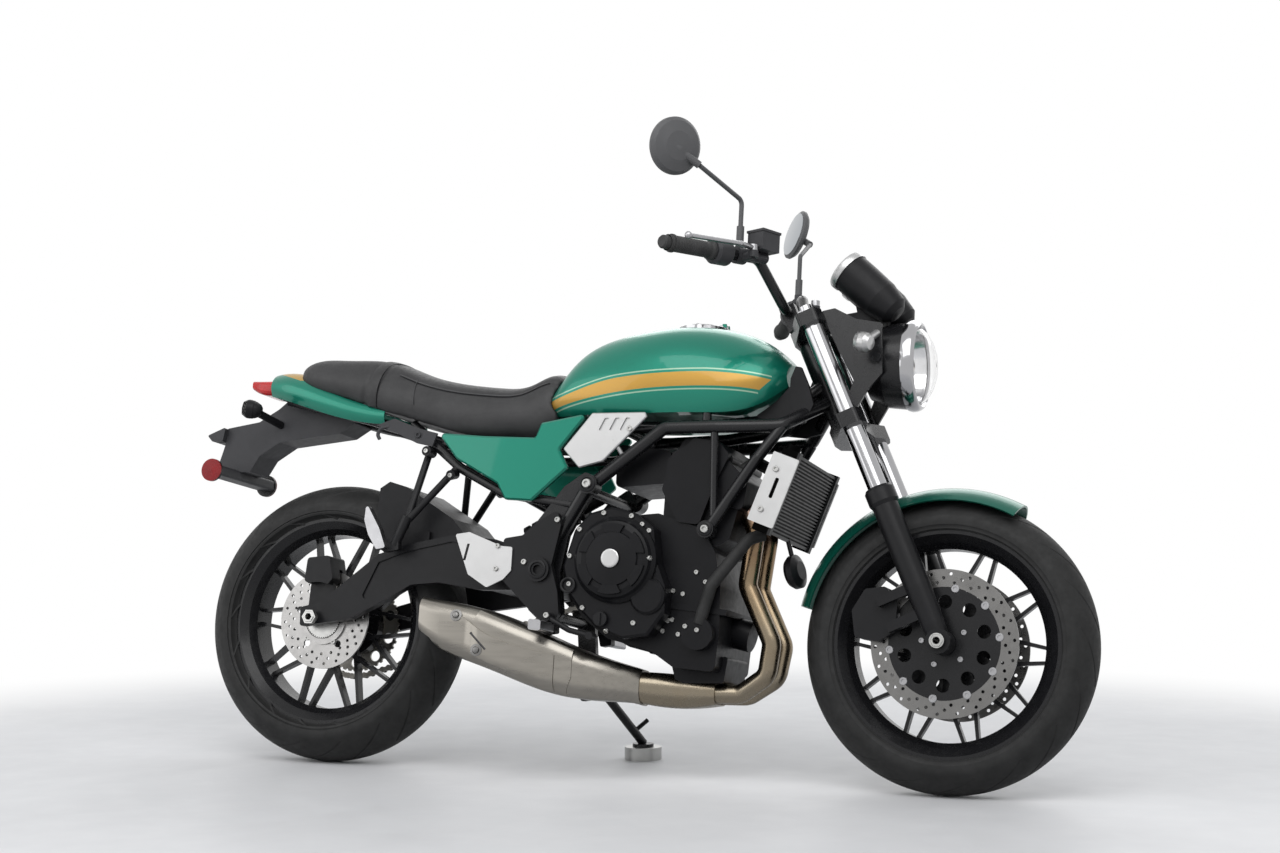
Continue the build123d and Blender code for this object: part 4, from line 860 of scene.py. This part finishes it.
# Engine and exhaust
def screws():
    """Screw heads seated on the solids of the engine, plates and guards."""
    rows = [
        (CLUTCH_SCREWS, ["clutch_cover", "engine_block"], 5.6, (-1,)),
        (CASE_SCREWS, ["engine_block", "clutch_cover", "coolant_hoses"], 5.2, (-1,)),
        (PLATE_SCREWS, ["rider_footrests", "frame"], 6.4, SIDES),
        (HEEL_SCREWS, ["heel_guards", "rider_footrests"], 5.6, SIDES),
        (PANEL_SCREWS, ["radiator_panels"], 6.4, SIDES),
        (STRUT_SCREWS, ["passenger_footrests"], 5.4, SIDES),
        (VENT_SCREWS, ["vent_panels"], 6.0, SIDES),
        (PIVOT_SCREWS, ["frame"], 10.0, SIDES),
        (HANGER_SCREWS, ["engine_hangers", "frame"], 9.0, SIDES),
    ]
    shell = Shell()
    for places, nodes, radius, sides in rows:
        for x, z in places:
            for side in sides:
                shell.screw_on(nodes, x, z, side, radius)
    for x, z in rim_places("clutch_cover", CLUTCH_AT, CLUTCH_RIM_TURNS):
        shell.screw_on(["clutch_cover"], x, z, -1, 5.6, RIGHT)
    for k in range(9):
        x, z = on_circle(GENERATOR_AT, GENERATOR_SCREW_R, 40 * k)
        shell.screw_on(["generator_cover", "engine_block"], x, z, 1, 5.4)
    shell.done("engine_screws", ["zinc"], "chassis", slot="alloy")


def engine_trim():
    """Bright clutch cap, oil filler with its slot, a side plug and rings round the bosses."""
    cap = Shell()
    cap.lathe([(19.6, -1), (19.6, 1.4), (18.4, 2.4), (16.8, 2.7), (15, 2.7), (0, 2.7)], CLUTCH_AT, RIGHT, 48)
    cap.done("clutch_cap", ["silver_paint"], "chassis", slot="alloy")
    dark = Shell()
    filler = side_touch(["clutch_cover", "engine_block"], *OIL_FILLER, -1)[0]
    dark.lathe([(15.5, -1), (15.5, 3.6), (14.6, 4.4), (0, 4.4)], filler, RIGHT, 36)
    dark.plate([(-2.2, -12), (2.2, -12), (2.2, 12), (-2.2, 12)], filler, (AHEAD, UP, RIGHT), 4, 8)
    plug = side_touch(["clutch_cover", "engine_block"], *SIDE_PLUG, -1)[0]
    dark.lathe([(17, -1), (17, 6), (14.6, 7), (12.4, 6), (12, 1), (0, 1)], plug, RIGHT, 36)
    for x, z, size in BOSSES:
        found = side_touch(["frame", "engine_hangers", "rider_footrests"], x + size - 3, z, -1)
        ring = [(size, -1), (size, 2.2), (size - 1.5, 3), (size - 5, 3), (size - 6, 1)]
        dark.lathe(ring, (x, found[0][1], z), RIGHT, 36)
    dark.done("engine_plugs", ["satin_black"], "chassis", slot="engine_black")


def heat_shield():
    """A plate over the outside of the silencer, with its screws, and a dark bar along its slot as painted
    shade.
    """
    rear, front = SHIELD_ENDS
    rows = []
    for x in (rear, rear + 1.5, *np.linspace(364, 604, 21), front - 1.5, front):
        met = [z for z in range(140, 364, 3) if side_touch(["muffler"], x, z, -1)]
        low = min(met) + 4
        high = min(max(met) - 4, np.interp(x, *zip(*SHIELD_TOP)))
        row = []
        for part in (0, 0.012, *np.linspace(0.08, 0.92, 11), 0.988, 1):
            place, normal = side_touch(["muffler"], x, low + (high - low) * part, -1)
            lift = -0.6 if part in (0, 1) or x in SHIELD_ENDS else 2.4
            row.append(place + normal * lift)
        rows.append(row)
    plate = Shell()
    plate.grid(np.array(rows))
    plate.done("heat_shield", ["muffler_steel"], "chassis", slot="stainless")
    heads = Shell()
    for x, z in SHIELD_SCREWS:
        place, normal = side_touch(["muffler"], x, z, -1)
        heads.lathe([(13, 2), (13, 3.2), (8, 3.6)], place, normal, 28)
        heads.lathe([(7, 2.8), (7, 6), (5.4, 7.6), (2.4, 8), (0, 8)], place, normal, 20)
    heads.done("shield_screws", ["dark_steel"], "chassis", slot="alloy")
    # A near-black bar along the slot is painted shade inside it.
    line = []
    for x, z in np.linspace(*SHIELD_SLOT_SHADE, 12):
        place, normal = side_touch(["muffler"], x, z, -1)
        line.append(place + normal * 1.2)
    slot = Shell()
    slot.tube(line, 2.6, 8)
    slot.done("shield_slot_painted_shade", ["dial_black"], "chassis", slot="black_plastic")


# Tank, seat and tail
def filler_ring():
    """The bright ring round the filler cap, with its screws."""
    height = touch(["fuel_tank"], (CAP_X - 50, 0, 1200), (0, 0, -1))[0][2]
    shell = Shell()
    shell.lathe([(57, -6), (57, 1), (55, 2.6), (46, 2.6), (44.6, 0.5)], (CAP_X, 0, height), UP, 64)
    for k in range(6):
        turn = radians(60 * k + 30)
        at = (CAP_X + CAP_SCREW_R * cos(turn), CAP_SCREW_R * sin(turn), height + 2.4)
        shell.screw(at, UP, 3.0)
    shell.done("filler_ring", ["chrome"], "chassis", slot="chrome")


def seat_edge(x):
    """Height of the seam between the seat's top and its sides."""
    return np.interp(x, *SEAT_LINE) - SEAT_SEAM_DROP


def strap_line(z):
    """Where the seat's cross strap runs at a height."""
    return 115 - (890 - z) * 0.28


def side_seam(z):
    """Where the upright seam on the seat's side runs at a height."""
    return 203 + (860 - z) * 0.1


def seat_padding():
    """The padded seat: the form of its solid, drawn in beside the strap and along the seams."""
    made = bpy.data.objects.new("seat_padding", frame["nodes"]["seat"].data.copy())
    bpy.context.scene.collection.objects.link(made)
    even = made.modifiers.new("even", "REMESH")
    even.mode = "VOXEL"
    even.voxel_size = 0.0048
    soft = made.modifiers.new("soft", "SMOOTH")
    soft.factor, soft.iterations = 0.5, 5
    shaped = bpy.data.meshes.new_from_object(made.evaluated_get(bpy.context.evaluated_depsgraph_get()))
    made.modifiers.clear()
    made.data = shaped
    count = len(shaped.vertices)
    points, normals = np.empty(count * 3), np.empty(count * 3)
    shaped.vertices.foreach_get("co", points)
    shaped.vertices.foreach_get("normal", normals)
    points, normals = points.reshape(-1, 3), normals.reshape(-1, 3)
    spots = (points @ np.array(UPRIGHT.to_3x3()).T + np.array(UPRIGHT.translation)) / MM
    x, y, z = spots.T
    edges = seat_edge(x)
    deep = 3.0 * np.exp(-((np.abs(x - strap_line(z)) - 15) / 5) ** 2)
    deep += 2.2 * np.exp(-((z - edges) / 4) ** 2) * np.clip((x - 150) / 30, 0, 1)
    deep += 1.2 * np.exp(-((x - side_seam(z)) / 4) ** 2) * (z < edges)
    deep -= 1.6 * np.exp(-((z - edges - 14) / 12) ** 2) * (np.abs(y) > 60)
    moved = points - normals * deep[:, None] * MM
    shaped.vertices.foreach_set("co", moved.ravel())
    shaped.polygons.foreach_set("use_smooth", [True] * len(shaped.polygons))
    shaped.materials.clear()
    shaped.materials.append(MAT["seat_cover"])
    shaped.update()
    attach(made, "chassis")
    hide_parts("seat")


def seat_trim():
    """The cross strap, the piping along the seat's edges and its side seams."""
    section = ((-12.6, -2.0), (-12.2, 1.4), (-9, 2.4), (0, 2.8), (9, 2.4), (12.2, 1.4), (12.6, -2.0))
    rows = []
    for turn in np.radians(np.linspace(-126, 126, 73)):
        out = np.array((0, sin(turn), cos(turn)))
        middle = strap_line(STRAP_MIDDLE_Z + 60 * cos(turn))
        met = [touch(["seat"], (middle + across, 0, STRAP_MIDDLE_Z), out) for across, _ in section]
        if all(met):
            rows.append([found[0] + out * lift for found, (_, lift) in zip(met, section)])
    strap = Shell()
    strap.grid(np.array(rows))
    strap.done("seat_strap", ["seat_cover"], "chassis", slot="seat_cover")
    seams = Shell()
    for side in SIDES:
        edge = [side_touch(["seat"], x, seat_edge(x), side) for x in range(160, 521, 12)]
        seams.tube([found[0] + (0, side * 0.2, 0) for found in edge if found], 1.7, 8)
        upright = [side_touch(["seat"], side_seam(z), z, side) for z in range(790, 858, 6)]
        seams.tube([found[0] for found in upright if found], 1.1, 8)
    seams.done("seat_piping", ["seam_thread"], "chassis", slot="seat_cover")


def tail_trim():
    """Cover plates over the subframe behind the struts, and luggage hooks."""
    shell = Shell()
    for side in SIDES:
        shell.plate(COVER_PLATE, (0, side * COVER_Y, 0), (AHEAD, UP, (0, side, 0)), -3, 3)
        shell.tube(smooth_path([sided(point, side) for point in LUGGAGE_HOOK], 6), 4.2, 10)
        shell.screw((226, side * (COVER_Y + 2), 722), (0, side, 0), 7.0)
    shell.done("subframe_covers", ["grey_plastic"], "chassis", slot="black_plastic")


# Studio
def aimed(made, at, aim):
    """Puts a camera or lamp in its place, turned to what it looks at."""
    made.location = at
    made.rotation_mode = "QUATERNION"
    made.rotation_quaternion = (Vector(aim) - Vector(at)).to_track_quat("-Z", "Y")
    bpy.context.scene.collection.objects.link(made)


def camera():
    """The camera fitted to the photograph."""
    lens = bpy.data.cameras.new("camera")
    lens.lens = CAMERA_LENS
    lens.sensor_width = 36.0
    made = bpy.data.objects.new("camera", lens)
    aimed(made, CAMERA_AT, CAMERA_AIM)
    bpy.context.scene.camera = made


def softbox(name, at, size, power):
    """A large soft lamp aimed at the machine."""
    data = bpy.data.lights.new(name, "AREA")
    data.shape = "RECTANGLE"
    data.size, data.size_y = size
    data.energy = power
    aimed(bpy.data.objects.new(name, data), at, LAMP_AIM)


def seen_factor(tree):
    """One for rays that see the backdrop directly, in a mirror or through glass."""
    path = tree.nodes.new("ShaderNodeLightPath")
    total = path.outputs["Is Camera Ray"]
    for ray in ("Is Glossy Ray", "Is Transmission Ray"):
        most = tree.nodes.new("ShaderNodeMath")
        most.operation = "MAXIMUM"
        tree.links.new(total, most.inputs[0])
        tree.links.new(path.outputs[ray], most.inputs[1])
        total = most.outputs[0]
    return total


def world():
    """A soft pale light all round that shows as plain white."""
    made = bpy.data.worlds.new("studio")
    bpy.context.scene.world = made
    made.use_nodes = True
    tree = made.node_tree
    fill = tree.nodes["Background"]
    fill.inputs["Color"].default_value = (0.94, 0.97, 1.0, 1.0)
    fill.inputs["Strength"].default_value = 0.55
    seen = tree.nodes.new("ShaderNodeBackground")
    seen.inputs["Color"].default_value = (1.0, 1.0, 1.0, 1.0)
    seen.inputs["Strength"].default_value = 1.0
    mix = tree.nodes.new("ShaderNodeMixShader")
    tree.links.new(seen_factor(tree), mix.inputs[0])
    tree.links.new(fill.outputs[0], mix.inputs[1])
    tree.links.new(seen.outputs[0], mix.inputs[2])
    tree.links.new(mix.outputs[0], tree.nodes["World Output"].inputs[0])


def floor():
    """A pale grey floor that fades to white away from the machine."""
    mesh = bpy.data.meshes.new("floor")
    corners = [(-1, -1, 0), (1, -1, 0), (1, 1, 0), (-1, 1, 0)]
    mesh.from_pydata([Vector(corner) * FLOOR_REACH for corner in corners], [], [(0, 1, 2, 3)])
    made = bpy.data.objects.new("floor", mesh)
    bpy.context.scene.collection.objects.link(made)
    look = Look("floor", Specular_IOR_Level=0.25)
    look.set("Base Color", look.tint(look.noise(2.0), (0.60, 0.60, 0.61), (0.66, 0.66, 0.67)))
    look.set("Roughness", look.spread(look.noise(12.0), 0.40, 0.55))
    spot = look.node("TexCoord").outputs["Object"]
    length = look.node("VectorMath", {0: spot}, operation="LENGTH").outputs[1]
    away = look.spread(length, 0.0, 1.0, 1.5, 2.7, "SMOOTHSTEP")
    white = look.node("Emission", {"Color": (1.0, 1.0, 1.0, 1.0), "Strength": 1.0})
    mix = look.node("MixShader", {0: look.math("MULTIPLY", away, seen_factor(look.tree)),
                                  1: look.shader.outputs[0], 2: white.outputs[0]})
    look.tree.links.new(mix.outputs[0], look.tree.nodes["Material Output"].inputs[0])
    mesh.materials.append(look.made)


dress()
tyre("front_tyre_tread", FRONT_AXLE, FRONT_TYRE, "front_wheel", "front_tyre")
tyre("rear_tyre_tread", REAR_AXLE, REAR_TYRE, "rear_wheel", "rear_tyre")
headlight()
gauge_faces()
mirror_glass()
screws()
engine_trim()
disc_bobbins()
axle_ends()
fork_caps()
front_signals()
rear_signals()
grip_ribs()
filler_ring()
seat_padding()
seat_trim()
tail_trim()
heat_shield()
camera()
world()
floor()
softbox("key", (0.8, -2.6, 3.4), (4.2, 2.8), 105.0)
softbox("fill", (-2.8, -2.4, 1.9), (3.0, 2.4), 35.0)
softbox("back", (0.2, 3.0, 2.9), (4.0, 2.2), 50.0)
bpy.context.scene.view_settings.view_transform = "Standard"
